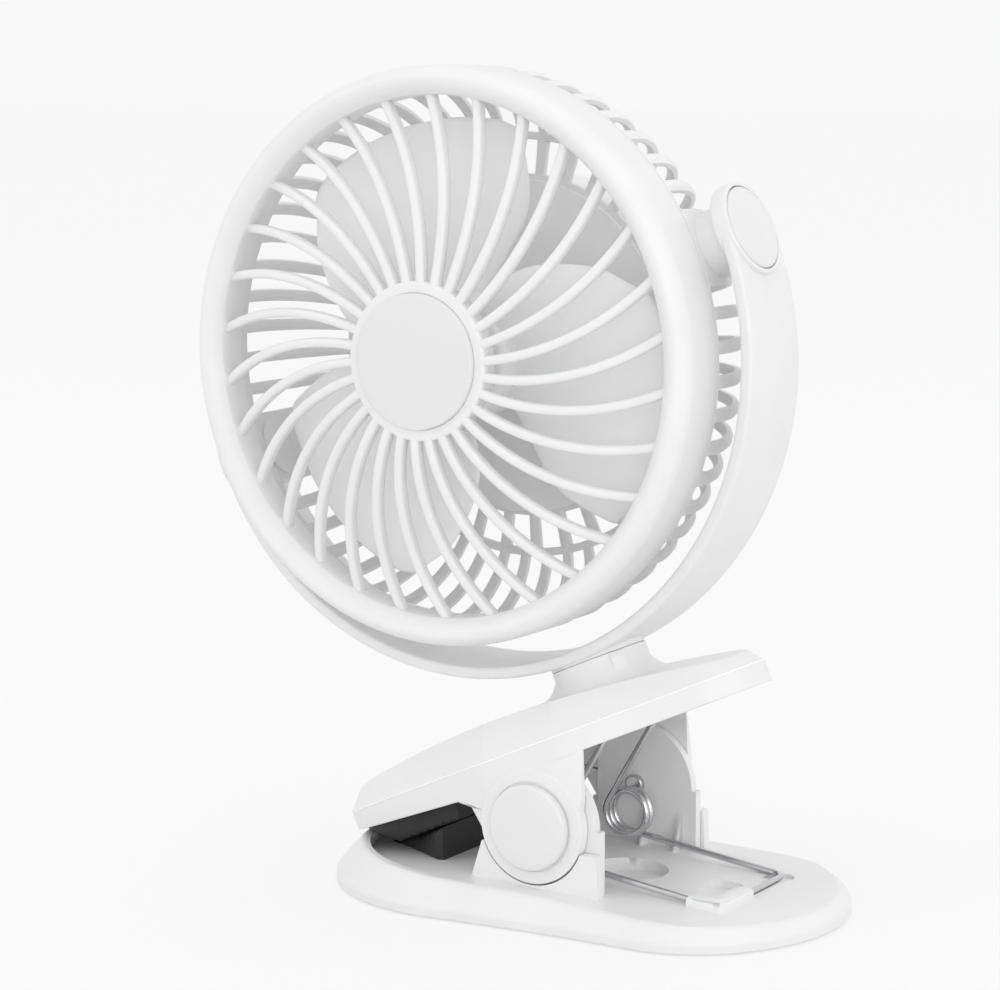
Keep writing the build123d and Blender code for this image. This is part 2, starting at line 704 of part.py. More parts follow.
# ==================================================================== upper jaw
def jaw_outline(inset):
    """Plan of the upper jaw: round nose, widest at the hinge, narrow tail."""
    edges = list((Pos(NOSE_U, 0) * Circle(NOSE_R - inset)).edges())
    for u in SHOULDER_U:
        for side in (-1, 1):
            place = Pos(u, side * (JAW_HALF - SHOULDER_R))
            edges += list((place * Circle(SHOULDER_R - inset)).edges())
    for side in (-1, 1):
        edges += list((Pos(JAW_TAIL_U, side * JAW_TAIL_Y) * Circle(JAW_TAIL_R - inset)).edges())
    return make_hull(edges)


def jaw_profile(drop, low):
    """Side view of the jaw's crown, lowered by drop, down to a given height."""
    start, middle, end = [(u, 0, w - drop) for u, w in CROWN]
    far = 20.0
    first = (start[0] - far, 0, start[2] - far * 0.45)
    last = (end[0] + far, 0, end[2] - far * 0.45)
    edges = [
        Line(first, start), ThreePointArc(start, middle, end), Line(end, last),
        Line(last, (last[0], 0, low)), Line((last[0], 0, low), (first[0], 0, low)),
        Line((first[0], 0, low), first),
    ]
    return extrude(make_face(edges), amount=2 * JAW_HALF, dir=(0, 1, 0), both=True)


def jaw_block(inset, drop, low):
    """Upright walls and sloping shoulders under the crown."""
    walls = extrude(Pos(0, 0, low) * jaw_outline(inset), amount=CREASE_W - low)
    narrow = inset + SHOULDER_RISE * tan(radians(SHOULDER_SLOPE))
    crease = Pos(0, 0, CREASE_W) * jaw_outline(inset)
    ridge = Pos(0, 0, CREASE_W + SHOULDER_RISE) * jaw_outline(narrow)
    return (walls + loft([crease, ridge], ruled=True)) & jaw_profile(drop, low - 1)


def jaw_trim():
    """What is cut away under the jaw's lower edges."""
    (u0, w0), (u1, w1) = FRONT_EDGE
    low = -JAW_HALF
    wide = 2 * JAW_HALF
    tail = JAW_TAIL_U + 2 * JAW_TAIL_R
    front = prism_y([(u0, low), (u0, w0), (u1, w1), (u1, low)], wide)
    rear = prism_y([(FLANGE_REAR_U, low), (FLANGE_REAR_U, REAR_EDGE_W), (tail, REAR_EDGE_W), (tail, low)], wide)
    middle = prism_y([(u1, low), (u1, w1), (FLANGE_REAR_U, REAR_EDGE_W), (FLANGE_REAR_U, low)], wide)
    return front + rear + middle


def jaw_flange(side):
    """Cheek that comes down beside the jaw and turns on the hinge stub."""
    outline = make_face(Polyline(
        (FRONT_EDGE[1][0] - 2, 0, CREASE_W - 1), (FRONT_EDGE[1][0] - 2, 0, FRONT_EDGE[1][1]),
        (FLANGE_FRONT_U, 0, FLANGE_FRONT_W), (-FLANGE_R + 0.05, 0, 1.0),
        (0, 0, 0), (FLANGE_R - 0.05, 0, -0.8), (FLANGE_R + 1.4, 0, 1.6),
        (FLANGE_REAR_U, 0, REAR_EDGE_W), (FLANGE_REAR_U, 0, CREASE_W - 1), close=True))
    cheek = extrude(outline, amount=EAR_THICK, dir=(0, 1, 0))
    cheek = Pos(0, JAW_HALF - EAR_THICK, 0) * cheek
    cheek += rod_y(FLANGE_R, JAW_HALF - EAR_THICK, JAW_HALF)
    cheek &= extrude(Pos(0, 0, -JAW_HALF) * jaw_outline(0), amount=2 * JAW_HALF)
    cheek -= rod_y(STUB_R + SHAFT_GAP, 0, JAW_HALF + 1)
    return cheek if side > 0 else mirror(cheek, Plane.XZ)


def neck_collar():
    """Round neck on the jaw, with a flared foot and a key on its near side."""
    collar = rod_z(NECK_R, NECK_BOTTOM, NECK_TOP, HEAD_U)
    crown = CROWN[1][1]
    height = NECK_FLARE / 2 + NECK_ROOT
    foot = Pos(HEAD_U, 0, crown - NECK_ROOT + height / 2)
    collar += foot * Cone(NECK_R + NECK_FLARE, NECK_R, height)
    key = block(NECK_R - 1.5, NECK_R + KEY_PROUD, -KEY_WIDTH / 2, KEY_WIDTH / 2, NECK_TOP - KEY_HEIGHT, NECK_TOP)
    return collar + Pos(HEAD_U, 0, 0) * Rot(0, 0, KEY_ANGLE) * key


def make_upper_jaw():
    """Upper jaw of the clip with its cheeks and the swivel neck."""
    low = FRONT_EDGE[1][1] - 6
    body = jaw_block(0, 0, low) - jaw_trim()
    cavity = jaw_block(WALL, WALL, low - 1)
    nose = NOSE_U - NOSE_R - 1
    cavity -= block(nose, PAD_SEAT_END, -NOSE_R - 1, NOSE_R + 1, PAD_SEAT_W, PAD_SEAT_W + WALL)
    cavity -= block(SADDLE_U, SADDLE_U + SADDLE_THICK, -SADDLE_HALF, SADDLE_HALF, CREASE_W - 1, NECK_TOP)
    body -= cavity
    body += neck_collar()
    for side in (-1, 1):
        body += jaw_flange(side)
    body -= rod_z(NECK_BORE_R, NECK_BOTTOM - 1, NECK_TOP + 1, HEAD_U)
    return body


def make_upper_pad():
    """Rubber under the upper jaw's nose."""
    outline = (Pos(NOSE_U, 0) * Circle(NOSE_R - PAD_INSET)) + Pos(
        (NOSE_U + PAD_REAR_U) / 2, 0) * Rectangle(PAD_REAR_U - NOSE_U, 2 * (NOSE_R - PAD_INSET))
    solid = extrude(outline, amount=PAD_SEAT_W)
    tip = PAD_NOSE_U - (PAD_SEAT_W - PAD_NOSE_W) * 2
    sides = [(PAD_REAR_U, PAD_W), (PAD_KNEE_U, PAD_W), (PAD_NOSE_U, PAD_NOSE_W), (tip, PAD_SEAT_W),
             (PAD_REAR_U, PAD_SEAT_W)]
    return solid & prism_y(sides, NOSE_R)


# ======================================================================== yoke
def yoke_side_outline():
    """View of an arm along its pivot: full width below, round at the end."""
    half = YOKE_HALF
    low = -YOKE_R - 5
    face = make_face(Polyline((0, -half, low), (0, half, low), (0, half, -YOKE_R * 0.45), (0, END_R, 0),
                              (0, -END_R, 0), (0, -half, -YOKE_R * 0.45), close=True))
    reach = END_FACE + 1
    solid = extrude(face, amount=reach, dir=(1, 0, 0), both=True)
    return solid + rod_x(END_R, -reach, reach)


def yoke_band():
    """Half ring with upright ends."""
    outer = rod_y(YOKE_R, -YOKE_HALF, YOKE_HALF)
    outer += block(-YOKE_R, YOKE_R, -YOKE_HALF, YOKE_HALF, 0, END_R)
    inner = rod_y(YOKE_R - YOKE_THICK, -YOKE_HALF, YOKE_HALF)
    inner += block(-YOKE_R + YOKE_THICK, YOKE_R - YOKE_THICK, -YOKE_HALF, YOKE_HALF, 0, END_R)
    band = outer - inner
    band -= block(-YOKE_R, YOKE_R, -YOKE_HALF, YOKE_HALF, END_R, 2 * YOKE_R)
    return band


def make_yoke():
    """The U-shaped arm, with its foot, the swivel stem and two pivot sockets."""
    body = yoke_band() & yoke_side_outline()
    for side in (-1, 1):
        body += rod_x(END_R, side * END_INNER, side * END_FACE)
        body -= rod_x(BUTTON_R + SEAT_GAP, side * (END_FACE - BUTTON_RECESS), side * (END_FACE + 2))
        body -= rod_x(TILT_STUB_R + SHAFT_GAP, side * (END_INNER - 1), side * END_FACE)
    foot_z = NECK_TOP + SLIDE_GAP - HEAD_W
    foot = rod_z(NECK_R, foot_z, -YOKE_R + YOKE_THICK / 2)
    foot -= rod_y(YOKE_R - YOKE_THICK / 2, -YOKE_HALF, YOKE_HALF)
    body += foot
    stem_low = NECK_BOTTOM - SLIDE_GAP - HEAD_W
    body += rod_z(STEM_R, stem_low, foot_z + 0.5)
    body -= rod_z(SWIVEL_SCREW_R + SHAFT_GAP, stem_low - 1, stem_low + SWIVEL_SCREW_LENGTH)
    return body


def make_swivel_bush():
    """Plain bush between the yoke's stem and the neck."""
    low = NECK_BOTTOM
    bush = rod_z(NECK_BORE_R - SHAFT_GAP, low, NECK_TOP - 0.1, HEAD_U)
    return bush - rod_z(STEM_R + SHAFT_GAP, low - 1, NECK_TOP + 1, HEAD_U)


def make_swivel_washer():
    """Washer that keeps the stem in the neck."""
    top = NECK_BOTTOM - SLIDE_GAP - HEAD_W
    return rod_z(WASHER_R, top - WASHER_THICK, top) - rod_z(SWIVEL_SCREW_R + SHAFT_GAP, top - 3, top + 1)


def make_swivel_screw():
    """Screw that holds the washer to the stem."""
    seat = NECK_BOTTOM - SLIDE_GAP - HEAD_W - WASHER_THICK
    head = rod_z(SWIVEL_SCREW_HEAD_R, seat - SCREW_HEAD_H, seat)
    return head + rod_z(SWIVEL_SCREW_R, seat - 0.1, seat + SWIVEL_SCREW_LENGTH)


def make_yoke_button(side):
    """Round cover over a tilt pivot."""
    inner = END_FACE - BUTTON_RECESS + 0.9
    disc = rod_x(BUTTON_R, inner, END_FACE + BUTTON_PROUD)
    disc = fillet(disc.edges().group_by(Axis.X)[-1], CAP_EDGE)
    disc += rod_x(BUTTON_R, END_FACE - BUTTON_RECESS, inner) - rod_x(BUTTON_R - 1.2, END_FACE - 9, END_FACE)
    return disc if side > 0 else mirror(disc, Plane.YZ)


# ================================================================ head: housing
def dome_y(radius):
    """Front of the grille's dome at a radius."""
    share = (OPENING_R - radius) / (OPENING_R - HUB_RING_R)
    return DOME_RIM + (DOME_HUB - DOME_RIM) * (1 - (1 - min(max(share, 0), 1)) ** 1.7)


def dome_shell():
    """Domed sheet that the ribs are cut from."""
    span = OPENING_R - HUB_RING_R
    radii = [HUB_RING_R - HUB_RING_WALL] + [HUB_RING_R + span * step / DOME_STEPS for step in range(DOME_STEPS + 1)]
    radii.append(OPENING_R + LIP_THICK / 2)
    front = [(r, dome_y(r)) for r in radii]
    back = [(r, dome_y(r) + RIB_DEPTH) for r in reversed(radii)]
    return turned(front + back)


def rib_point(radius, start):
    """A point on a rib's centre line, which swirls more towards the rim."""
    share = (radius - HUB_RING_R) / (OPENING_R - HUB_RING_R)
    return polar(radius, start + RIB_SWIRL * max(share, 0) ** 1.25)


def one_rib(shell):
    """One swirling rib of the front grille."""
    inner, outer = HUB_RING_R - 1.2, OPENING_R + 1.0
    middle = (inner + outer) / 2
    line = ThreePointArc(*[(p[0], p[2]) for p in (rib_point(inner, 0), rib_point(middle, 0), rib_point(outer, 0))])
    band = Plane.XZ * trace(line, line_width=RIB_WIDTH)
    bar = extrude(band, amount=-2 * DOME_HUB, both=True)
    return bar & shell


def across_bezel(points):
    """Radius and Y of points that are given by their share of the bezel's width."""
    return [(RING_R - BEZEL * share, y) for share, y in points]


def make_front_grille():
    """Bezel ring, hub ring and swirling ribs in one moulding."""
    lip = OPENING_R + LIP_THICK
    outside = [(RING_R, RING_BACK)] + across_bezel(BEAD) + [(OPENING_R, OPENING_FRONT), (OPENING_R, LIP_BACK)]
    inside = [(lip, LIP_BACK)] + across_bezel(BEAD_HOLLOW) + [(RING_R - RING_WALL, RING_BACK)]
    bezel = turned(outside + inside)
    hub_back = DOME_HUB + HUB_RING_DEPTH
    hub = rod_y(HUB_RING_R, DOME_HUB, hub_back)
    hub -= rod_y(HUB_RING_R - HUB_RING_WALL, DOME_HUB - 1, hub_back - HUB_FLOOR)
    rib = one_rib(dome_shell())
    parts = [about_y(RIB_PHASE + 360.0 * index / RIBS) * rib for index in range(RIBS)]
    return bezel + hub + parts


def make_grille_cap():
    """Plain round cap in the middle of the grille."""
    radius = HUB_RING_R - HUB_RING_WALL - SHAFT_GAP
    back = DOME_HUB + HUB_RING_DEPTH - HUB_FLOOR
    cap = rod_y(radius, HUB_CAP_FRONT, back)
    cap = fillet(cap.edges().group_by(Axis.Y)[0], HUB_CAP_EDGE)
    return cap - rod_y(radius - WALL, HUB_CAP_FRONT + 1.8, back + 1)


def cage_bend(inset):
    """Quarter of an ellipse from the cage's side round to its back, drawn in by inset."""
    across, deep = CAGE_SHOULDER - inset, CAGE_BACK - CAGE_TURN - inset
    points = []
    for step in range(CAGE_STEPS + 1):
        angle = radians(90.0 * step / CAGE_STEPS)
        points.append((RING_R - CAGE_SHOULDER + across * cos(angle), CAGE_TURN + deep * sin(angle)))
    return points


def cage_wall():
    """Shell of the rear cage: nests in the ring, bends round to the back."""
    nest = RING_R - RING_WALL - SEAT_GAP
    nest_in = nest - WALL + 0.6
    step_y = RING_BACK + SEAT_GAP
    rim = POD_R - LANDING
    profile = [(nest, CAGE_NEST_FRONT), (nest, step_y), (RING_R, step_y)] + cage_bend(0)
    profile += [(rim, CAGE_BACK), (rim, CAGE_BACK - CAGE_WALL)] + cage_bend(CAGE_WALL)[::-1]
    profile += [(RING_R - CAGE_WALL, step_y + 3.0), (nest_in, step_y + 1.2), (nest_in, CAGE_NEST_FRONT)]
    return turned(profile)


def cage_inside():
    """Free space inside the cage's bend."""
    floor = CAGE_BACK - CAGE_WALL
    return turned([(0, RING_BACK), (RING_R - CAGE_WALL, RING_BACK)] + cage_bend(CAGE_WALL) + [(0, floor)])


def radial_slot(near, far, widths, y0, y1):
    """Slot between two radii that widens outwards, along X."""
    w0, w1 = widths
    face = make_face(Polyline((near, y0, -w0 / 2), (far, y0, -w1 / 2), (far, y0, w1 / 2), (near, y0, w0 / 2),
                              close=True))
    return extrude(face, amount=y1 - y0, dir=(0, 1, 0))


def make_rear_cage():
    """Rear cage with two rows of slots and the bosses that the yoke carries."""
    cage = cage_wall()
    step_y = RING_BACK + SEAT_GAP
    far_back = CAGE_BACK + 3
    half = DIVIDER_WIDTH / 2
    outer = radial_slot(DIVIDER_R + half, RING_R + 3, OUTER_SLOT, step_y + SLOT_LAND, far_back)
    inner = radial_slot(POD_R + 1.0, DIVIDER_R - half, INNER_SLOT, CAGE_BACK - CAGE_WALL - 2, far_back)
    cutters = []
    for index in range(OUTER_SLOTS):
        angle = 360.0 * (index + 0.5) / OUTER_SLOTS
        off_boss = abs((angle + 90) % 180 - 90) * radians(RING_R)
        if off_boss > TILT_BOSS_R + OUTER_SLOT[1] / 2 + 0.8:
            cutters.append(about_y(angle) * outer)
    for index in range(INNER_SLOTS):
        cutters.append(about_y(360.0 * (index + 0.5) / INNER_SLOTS) * inner)
    cage -= cutters
    hollow = cage_inside()
    root = RING_R - CAGE_SHOULDER
    for side in (-1, 1):
        boss = rod_x(TILT_BOSS_R, side * root, side * (END_INNER - TILT_WASHER_THICK - 0.1)) - hollow
        boss += rod_x(TILT_STUB_R, side * RING_R, side * (END_FACE - BUTTON_RECESS - 0.6))
        cage += boss
        cage -= rod_x(SCREW_R + SHAFT_GAP, side * (RING_R - 0.2), side * END_FACE)
    return cage


def make_tilt_washers():
    """Friction washers between the head's bosses and the arm ends."""
    washers = []
    for side in (-1, 1):
        inner = END_INNER - TILT_WASHER_THICK - 0.1
        washer = rod_x(TILT_WASHER_R, side * inner, side * (inner + TILT_WASHER_THICK))
        washers.append(washer - rod_x(TILT_STUB_R + SHAFT_GAP, side * (inner - 1), side * END_FACE))
    return washers


def make_tilt_screws():
    """Screws with wide heads that keep the arms on the head's stubs."""
    screws = []
    for side in (-1, 1):
        seat = END_FACE - BUTTON_RECESS - 0.6
        head_in = END_FACE - BUTTON_RECESS + SHAFT_GAP
        head = rod_x(TILT_STUB_R + 1.8, side * head_in, side * (head_in + 0.7))
        neck = rod_x(SCREW_R + 1.2, side * seat, side * head_in)
        screws.append(head + neck + rod_x(SCREW_R, side * (seat - 7), side * (seat + 0.2)))
    return screws


# ================================================================== head: inside
def make_motor_plate():
    """Front wall of the pod: carries the motor in a cup."""
    back = CAGE_BACK - CAGE_WALL
    plate = rod_y(POD_R - 0.3, back - PLATE_THICK, back)
    plate += rod_y(CAN_R + SHAFT_GAP + CUP_WALL, CUP_FRONT, back)
    plate -= rod_y(CAN_R + SHAFT_GAP, CAN_FRONT - 1, CAGE_BACK)
    for angle in SCREW_ANGLES:
        x, _, z = polar(SCREW_RING_R, angle)
        plate -= rod_y(SCREW_R + SCREW_HOLE_GAP, back - 9, CAGE_BACK, x, z)
        plate -= rod_y(SCREW_WELL_R, back - 9, back - PLATE_THICK / 2, x, z)
    return plate


def pod_shell_profile(inset):
    """Half section of the pod's bowl, with a rounded back corner."""
    radius, back, corner = POD_R - inset, POD_BACK - inset, POD_CORNER - inset
    points = [(radius, CAGE_BACK)]
    for step in range(0, 7):
        angle = radians(15.0 * step)
        points.append((radius - corner + corner * cos(angle), back - corner + corner * sin(angle)))
    return points + [(0, back), (0, CAGE_BACK)]


def make_rear_pod():
    """Bowl at the back that holds the cell and the circuit board."""
    pod = turned(pod_shell_profile(0)) - turned(pod_shell_profile(WALL))
    inner_back = POD_BACK - WALL
    post_front = CAGE_BACK - CAGE_WALL
    for angle in SCREW_ANGLES:
        x, _, z = polar(SCREW_RING_R, angle)
        pod += rod_y(POST_R, post_front, inner_back + 0.5, x, z)
        pod -= rod_y(SCREW_R + SHAFT_GAP, post_front - 1, post_front + 10, x, z)
    for x in (-BOARD_SIZE[0] / 2 + 5, BOARD_SIZE[0] / 2 - 5):
        pod += rod_y(2.2, board_back(), inner_back + 0.5, x, BOARD_Z - BOARD_SIZE[2] / 2 + 3)
    for x in (-CELL_LENGTH / 4, CELL_LENGTH / 4):
        low = CELL_Z - CELL_R - 1.2
        cradle = block(x - 1, x + 1, cell_y(), inner_back + 0.5, low, CELL_Z + CELL_R + 1.2)
        cradle -= rod_x(CELL_R + SHAFT_GAP, x - 2, x + 2, cell_y(), CELL_Z)
        pod += cradle
    bore = PRESS_R + 0.15
    pod -= rod_y(bore, inner_back - 1, POD_BACK + 1, 0, BUTTON_Z)
    pod -= block(USB_X - USB_WIDTH / 2 - 0.3, USB_X + USB_WIDTH / 2 + 0.3, inner_back - 1, POD_BACK + 1,
                 BUTTON_Z - USB_HEIGHT / 2 - 0.3, BUTTON_Z + USB_HEIGHT / 2 + 0.3)
    for x in led_places():
        pod -= rod_y(LED_R + SHAFT_GAP, inner_back - 1, POD_BACK + 1, x, BUTTON_Z)
    return pod


def cell_y():
    """Depth of the cell's axis, just clear of the motor."""
    return CAN_BACK + 1.5 + CELL_R


def board_back():
    """Rear face of the circuit board."""
    return POD_BACK - WALL - USB_LENGTH + 1.6


def led_places():
    """X places of the charge lights."""
    return [LED_X + LED_PITCH * index for index in range(LED_COUNT)]


def make_board():
    """Circuit board behind the rear wall."""
    width, thick, height = BOARD_SIZE
    back = board_back()
    return block(-width / 2, width / 2, back - thick, back, BOARD_Z - height / 2, BOARD_Z + height / 2)


def make_switch():
    """Small key switch under the power button."""
    back = board_back()
    body = block(-SWITCH_SIDE / 2, SWITCH_SIDE / 2, back, back + SWITCH_H, BUTTON_Z - SWITCH_SIDE / 2,
                 BUTTON_Z + SWITCH_SIDE / 2)
    return body


def make_power_button():
    """Round push button in the rear wall, kept in by its flange."""
    inner_back = POD_BACK - WALL
    flange_back = inner_back - 0.05
    cap = rod_y(PRESS_R, flange_back - 0.1, POD_BACK + PRESS_PROUD, 0, BUTTON_Z)
    cap = fillet(cap.edges().group_by(Axis.Y)[-1], 0.5)
    cap += rod_y(PRESS_R + PRESS_FLANGE, flange_back - PRESS_FLANGE_H, flange_back, 0, BUTTON_Z)
    plunger_tip = board_back() + SWITCH_H + PRESS_TRAVEL + 0.1
    return cap + rod_y(1.5, plunger_tip, flange_back, 0, BUTTON_Z)


def make_usb_socket():
    """Charging socket, open to the rear."""
    front = board_back()
    back = front + USB_LENGTH
    width, height = USB_WIDTH, USB_HEIGHT
    shell_face = Plane.XZ * RectangleRounded(width, height, height / 2 - 0.05)
    shell = Pos(USB_X, back, BUTTON_Z) * extrude(shell_face, amount=USB_LENGTH)
    hollow_face = Plane.XZ * RectangleRounded(width - 0.6, height - 0.6, height / 2 - 0.35)
    shell -= Pos(USB_X, back + 1, BUTTON_Z) * extrude(hollow_face, amount=USB_LENGTH - 1)
    tongue_w, tongue_h = USB_TONGUE
    shell += block(USB_X - tongue_w / 2, USB_X + tongue_w / 2, front + 1.5, back - 1.2,
                   BUTTON_Z - tongue_h / 2, BUTTON_Z + tongue_h / 2)
    return shell


def make_light_guides():
    """Clear rods of the charge lights."""
    back = board_back()
    return [rod_y(LED_R, back, POD_BACK, x, BUTTON_Z) for x in led_places()]


def make_cell():
    """Rechargeable round cell across the pod."""
    half = CELL_LENGTH / 2
    body = rod_x(CELL_R, -half + CELL_CAP_H, half, cell_y(), CELL_Z)
    body = fillet(body.edges(), 0.6)
    return body + rod_x(CELL_CAP_R, -half, -half + CELL_CAP_H + 0.5, cell_y(), CELL_Z)


def make_pod_screws():
    """Screws through the motor plate into the pod's posts."""
    seat = CAGE_BACK - CAGE_WALL - PLATE_THICK / 2
    screws = []
    for angle in SCREW_ANGLES:
        x, _, z = polar(SCREW_RING_R, angle)
        head = rod_y(SCREW_HEAD_R, seat - PLATE_THICK / 2 + 0.1, seat, x, z)
        screws.append(head + rod_y(SCREW_R, seat - 0.1, seat + 8, x, z))
    return screws


# ======================================================================= motor
def make_motor_can():
    """Drawn steel can with a bearing seat at each end."""
    can = rod_y(CAN_R, CAN_FRONT, CAN_BACK)
    can -= rod_y(CAN_R - CAN_WALL, CAN_FRONT + CAN_WALL, CAN_BACK - CAN_WALL)
    for y0 in (CAN_FRONT, CAN_BACK - BEARING_H - 0.6):
        can += rod_y(BEARING_R + 1.2, y0, y0 + BEARING_H + 0.6)
    can -= rod_y(BEARING_R + 0.01, CAN_FRONT + 0.6, CAN_FRONT + BEARING_H + 2)
    can -= rod_y(BEARING_R + 0.01, CAN_BACK - BEARING_H - 2, CAN_BACK - 0.6)
    return can - rod_y(SHAFT_R + 0.4, CAN_FRONT - 1, CAN_BACK - 0.6)


def make_bearings():
    """Two sleeve bearings in the can."""
    bearings = []
    for y0 in (CAN_FRONT + 0.6, CAN_BACK - BEARING_H - 0.6):
        ring = rod_y(BEARING_R, y0, y0 + BEARING_H)
        bearings.append(ring - rod_y(SHAFT_R + SHAFT_GAP, y0 - 1, y0 + BEARING_H + 1))
    return bearings


def rotor_middle():
    """Depth of the rotor's middle."""
    return (CAN_FRONT + CAN_BACK) / 2


def make_magnets():
    """Ring magnet on the can's wall."""
    outer = CAN_R - CAN_WALL - 0.01
    y0, y1 = rotor_middle() - ROTOR_HALF, rotor_middle() + ROTOR_HALF
    return rod_y(outer, y0, y1) - rod_y(outer - MAGNET_WALL, y0 - 1, y1 + 1)


def make_rotor():
    """Wound rotor on the shaft."""
    y0, y1 = rotor_middle() - ROTOR_HALF, rotor_middle() + ROTOR_HALF
    rotor = rod_y(ROTOR_R, y0, y1)
    for index in range(3):
        slot = block(ROTOR_R * 0.45, ROTOR_R + 1, y0 - 1, y1 + 1, -0.8, 0.8)
        rotor -= about_y(120.0 * index + 60) * slot
    return rotor - rod_y(SHAFT_R, y0 - 1, y1 + 1)


def make_shaft():
    """Motor shaft that carries the rotor and the impeller."""
    return rod_y(SHAFT_R, SHAFT_FRONT, CAN_BACK - 0.8)


# ==================================================================== impeller
def blade_station(angle, y):
    """Upright strip of the blade at one angle, from the hub outwards."""
    inner, outer = IMPELLER_HUB_R - IMPELLER_WALL / 2, BLADE_R * 1.1
    half = BLADE_THICK / 2
    corners = [polar(inner, angle, y - half), polar(outer, angle, y - half),
               polar(outer, angle, y + half), polar(inner, angle, y + half)]
    return make_face(Polyline(*corners, close=True))


def blade_outline():
    """Front view of a petal: swept leading edge, round tip and rounded corners."""
    def flat(share, angle):
        point = polar(share * BLADE_R, angle)
        return (point[0], point[2])

    root = (IMPELLER_HUB_R - IMPELLER_WALL / 2) / BLADE_R
    start, end = flat(root, BLADE_LEAD), flat(root, BLADE_ROOT_TRAIL)
    lead = [start] + [flat(*point) for point in LEAD_EDGE]
    trail = [flat(*point) for point in TRAIL_EDGE] + [end]
    tip_lead, tip_trail = flat(1, TIP_SPAN[0]), flat(1, TIP_SPAN[1])
    lead_mid = flat(0.975, (TIP_SPAN[0] + LEAD_EDGE[-1][1]) / 2 + 1.5)
    trail_mid = flat(0.99, (TIP_SPAN[1] + TRAIL_EDGE[0][1]) / 2 - 1.0)
    edges = [
        Spline(*lead), ThreePointArc(lead[-1], lead_mid, tip_lead),
        ThreePointArc(tip_lead, flat(1, sum(TIP_SPAN) / 2), tip_trail),
        ThreePointArc(tip_trail, trail_mid, trail[0]), Spline(*trail), Line(end, start),
    ]
    return Plane.XZ * make_face(edges)


def make_blade():
    """One blade: a helical sheet trimmed to the petal's outline."""
    stations = 11
    spread = 8.0
    first, last = BLADE_LEAD + spread, BLADE_TRAIL - spread
    pitch = (BLADE_REAR - BLADE_FRONT) / (BLADE_LEAD - BLADE_TRAIL)
    faces = []
    for index in range(stations):
        angle = first + (last - first) * index / (stations - 1)
        faces.append(blade_station(angle, BLADE_FRONT + pitch * (BLADE_LEAD - angle)))
    sheet = loft(faces, ruled=True)
    return sheet & extrude(blade_outline(), amount=BLADE_R, both=True)


def make_impeller():
    """Three wide blades on a cup-shaped hub."""
    hub = rod_y(IMPELLER_HUB_R, IMPELLER_HUB_FRONT, IMPELLER_HUB_BACK)
    hub = fillet(hub.edges().group_by(Axis.Y)[0], 2.5)
    hub -= rod_y(IMPELLER_HUB_R - IMPELLER_WALL, IMPELLER_HUB_FRONT + 2.2, IMPELLER_HUB_BACK + 1)
    hub += rod_y(IMPELLER_BOSS_R, IMPELLER_HUB_FRONT + 1, IMPELLER_HUB_BACK)
    blade = make_blade()
    impeller = hub + [about_y(120.0 * index) * blade for index in range(BLADES)]
    return impeller - rod_y(SHAFT_R, IMPELLER_HUB_FRONT - 3, IMPELLER_HUB_BACK + 1)


def make_impeller_nut():
    """Cap nut that holds the impeller on the shaft."""
    front = IMPELLER_HUB_FRONT - NUT_H
    nut_face = Plane.XZ * RegularPolygon(NUT_R, 6)
    nut = Pos(0, IMPELLER_HUB_FRONT, 0) * extrude(nut_face, amount=NUT_H)
    return nut - rod_y(SHAFT_R, SHAFT_FRONT, front + 10)


# ====================================================================== output
def save(name, shape):
    """Writes one node; a list is kept as a group of separate solids."""
    solids = []
    for item in shape if isinstance(shape, list) else [shape]:
        solids += list(item.solids())
    result = solids[0] if len(solids) == 1 else Compound(children=solids)
    export_step(result, os.path.join("parts", name + ".step"))


def save_head(name, shape):
    """Writes a node that was modelled in the head frame."""
    if isinstance(shape, list):
        save(name, [in_head_frame(item) for item in shape])
    else:
        save(name, in_head_frame(shape))


os.makedirs("parts", exist_ok=True)

save("lower_jaw", make_lower_jaw())
save("base_cover", make_base_cover())
save("rubber_feet", make_feet())
save("base_screws", make_base_screws())
save("lower_jaw_pad", make_lower_pad())
save("hinge_cap_near", make_hinge_cap(-1))
save("hinge_cap_far", make_hinge_cap(1))
save("hinge_screws", make_hinge_screws())
save("clip_spring", make_clip_spring())

save("upper_jaw", in_jaw_frame(make_upper_jaw()))
save("upper_jaw_pad", in_jaw_frame(make_upper_pad()))
save("swivel_bush", in_jaw_frame(make_swivel_bush()))

save_head("yoke_arm", make_yoke())
save_head("swivel_washer", make_swivel_washer())
save_head("swivel_screw", make_swivel_screw())
save_head("yoke_button_right", make_yoke_button(1))
save_head("yoke_button_left", make_yoke_button(-1))

save_head("front_grille", make_front_grille())
save_head("grille_cap", make_grille_cap())
save_head("rear_cage", make_rear_cage())
save_head("tilt_washers", make_tilt_washers())
save_head("tilt_screws", make_tilt_screws())
save_head("motor_plate", make_motor_plate())
save_head("rear_pod", make_rear_pod())
save_head("pod_screws", make_pod_screws())
save_head("circuit_board", make_board())
save_head("key_switch", make_switch())
save_head("usb_socket", make_usb_socket())
save_head("light_guides", make_light_guides())
save_head("battery_cell", make_cell())
save_head("motor_can", make_motor_can())
save_head("motor_bearings", make_bearings())
save_head("motor_magnets", make_magnets())
save_head("power_button", make_power_button())

save_head("impeller", make_impeller())
save_head("impeller_nut", make_impeller_nut())
save_head("motor_shaft", make_shaft())
save_head("motor_rotor", make_rotor())
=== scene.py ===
"""Looks of the clip fan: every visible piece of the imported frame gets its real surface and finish.

All sizes are in millimetres in the dataclasses and become metres when a mesh is made. Two tilted
working frames are used: the jaw frame sits on the clip's hinge axis and leans with the upper jaw,
and the head frame is the jaw frame moved to the centre of the yoke. The fan looks towards -Y.
"""

import json
import logging
import math
from dataclasses import dataclass
from enum import Enum
from functools import cache

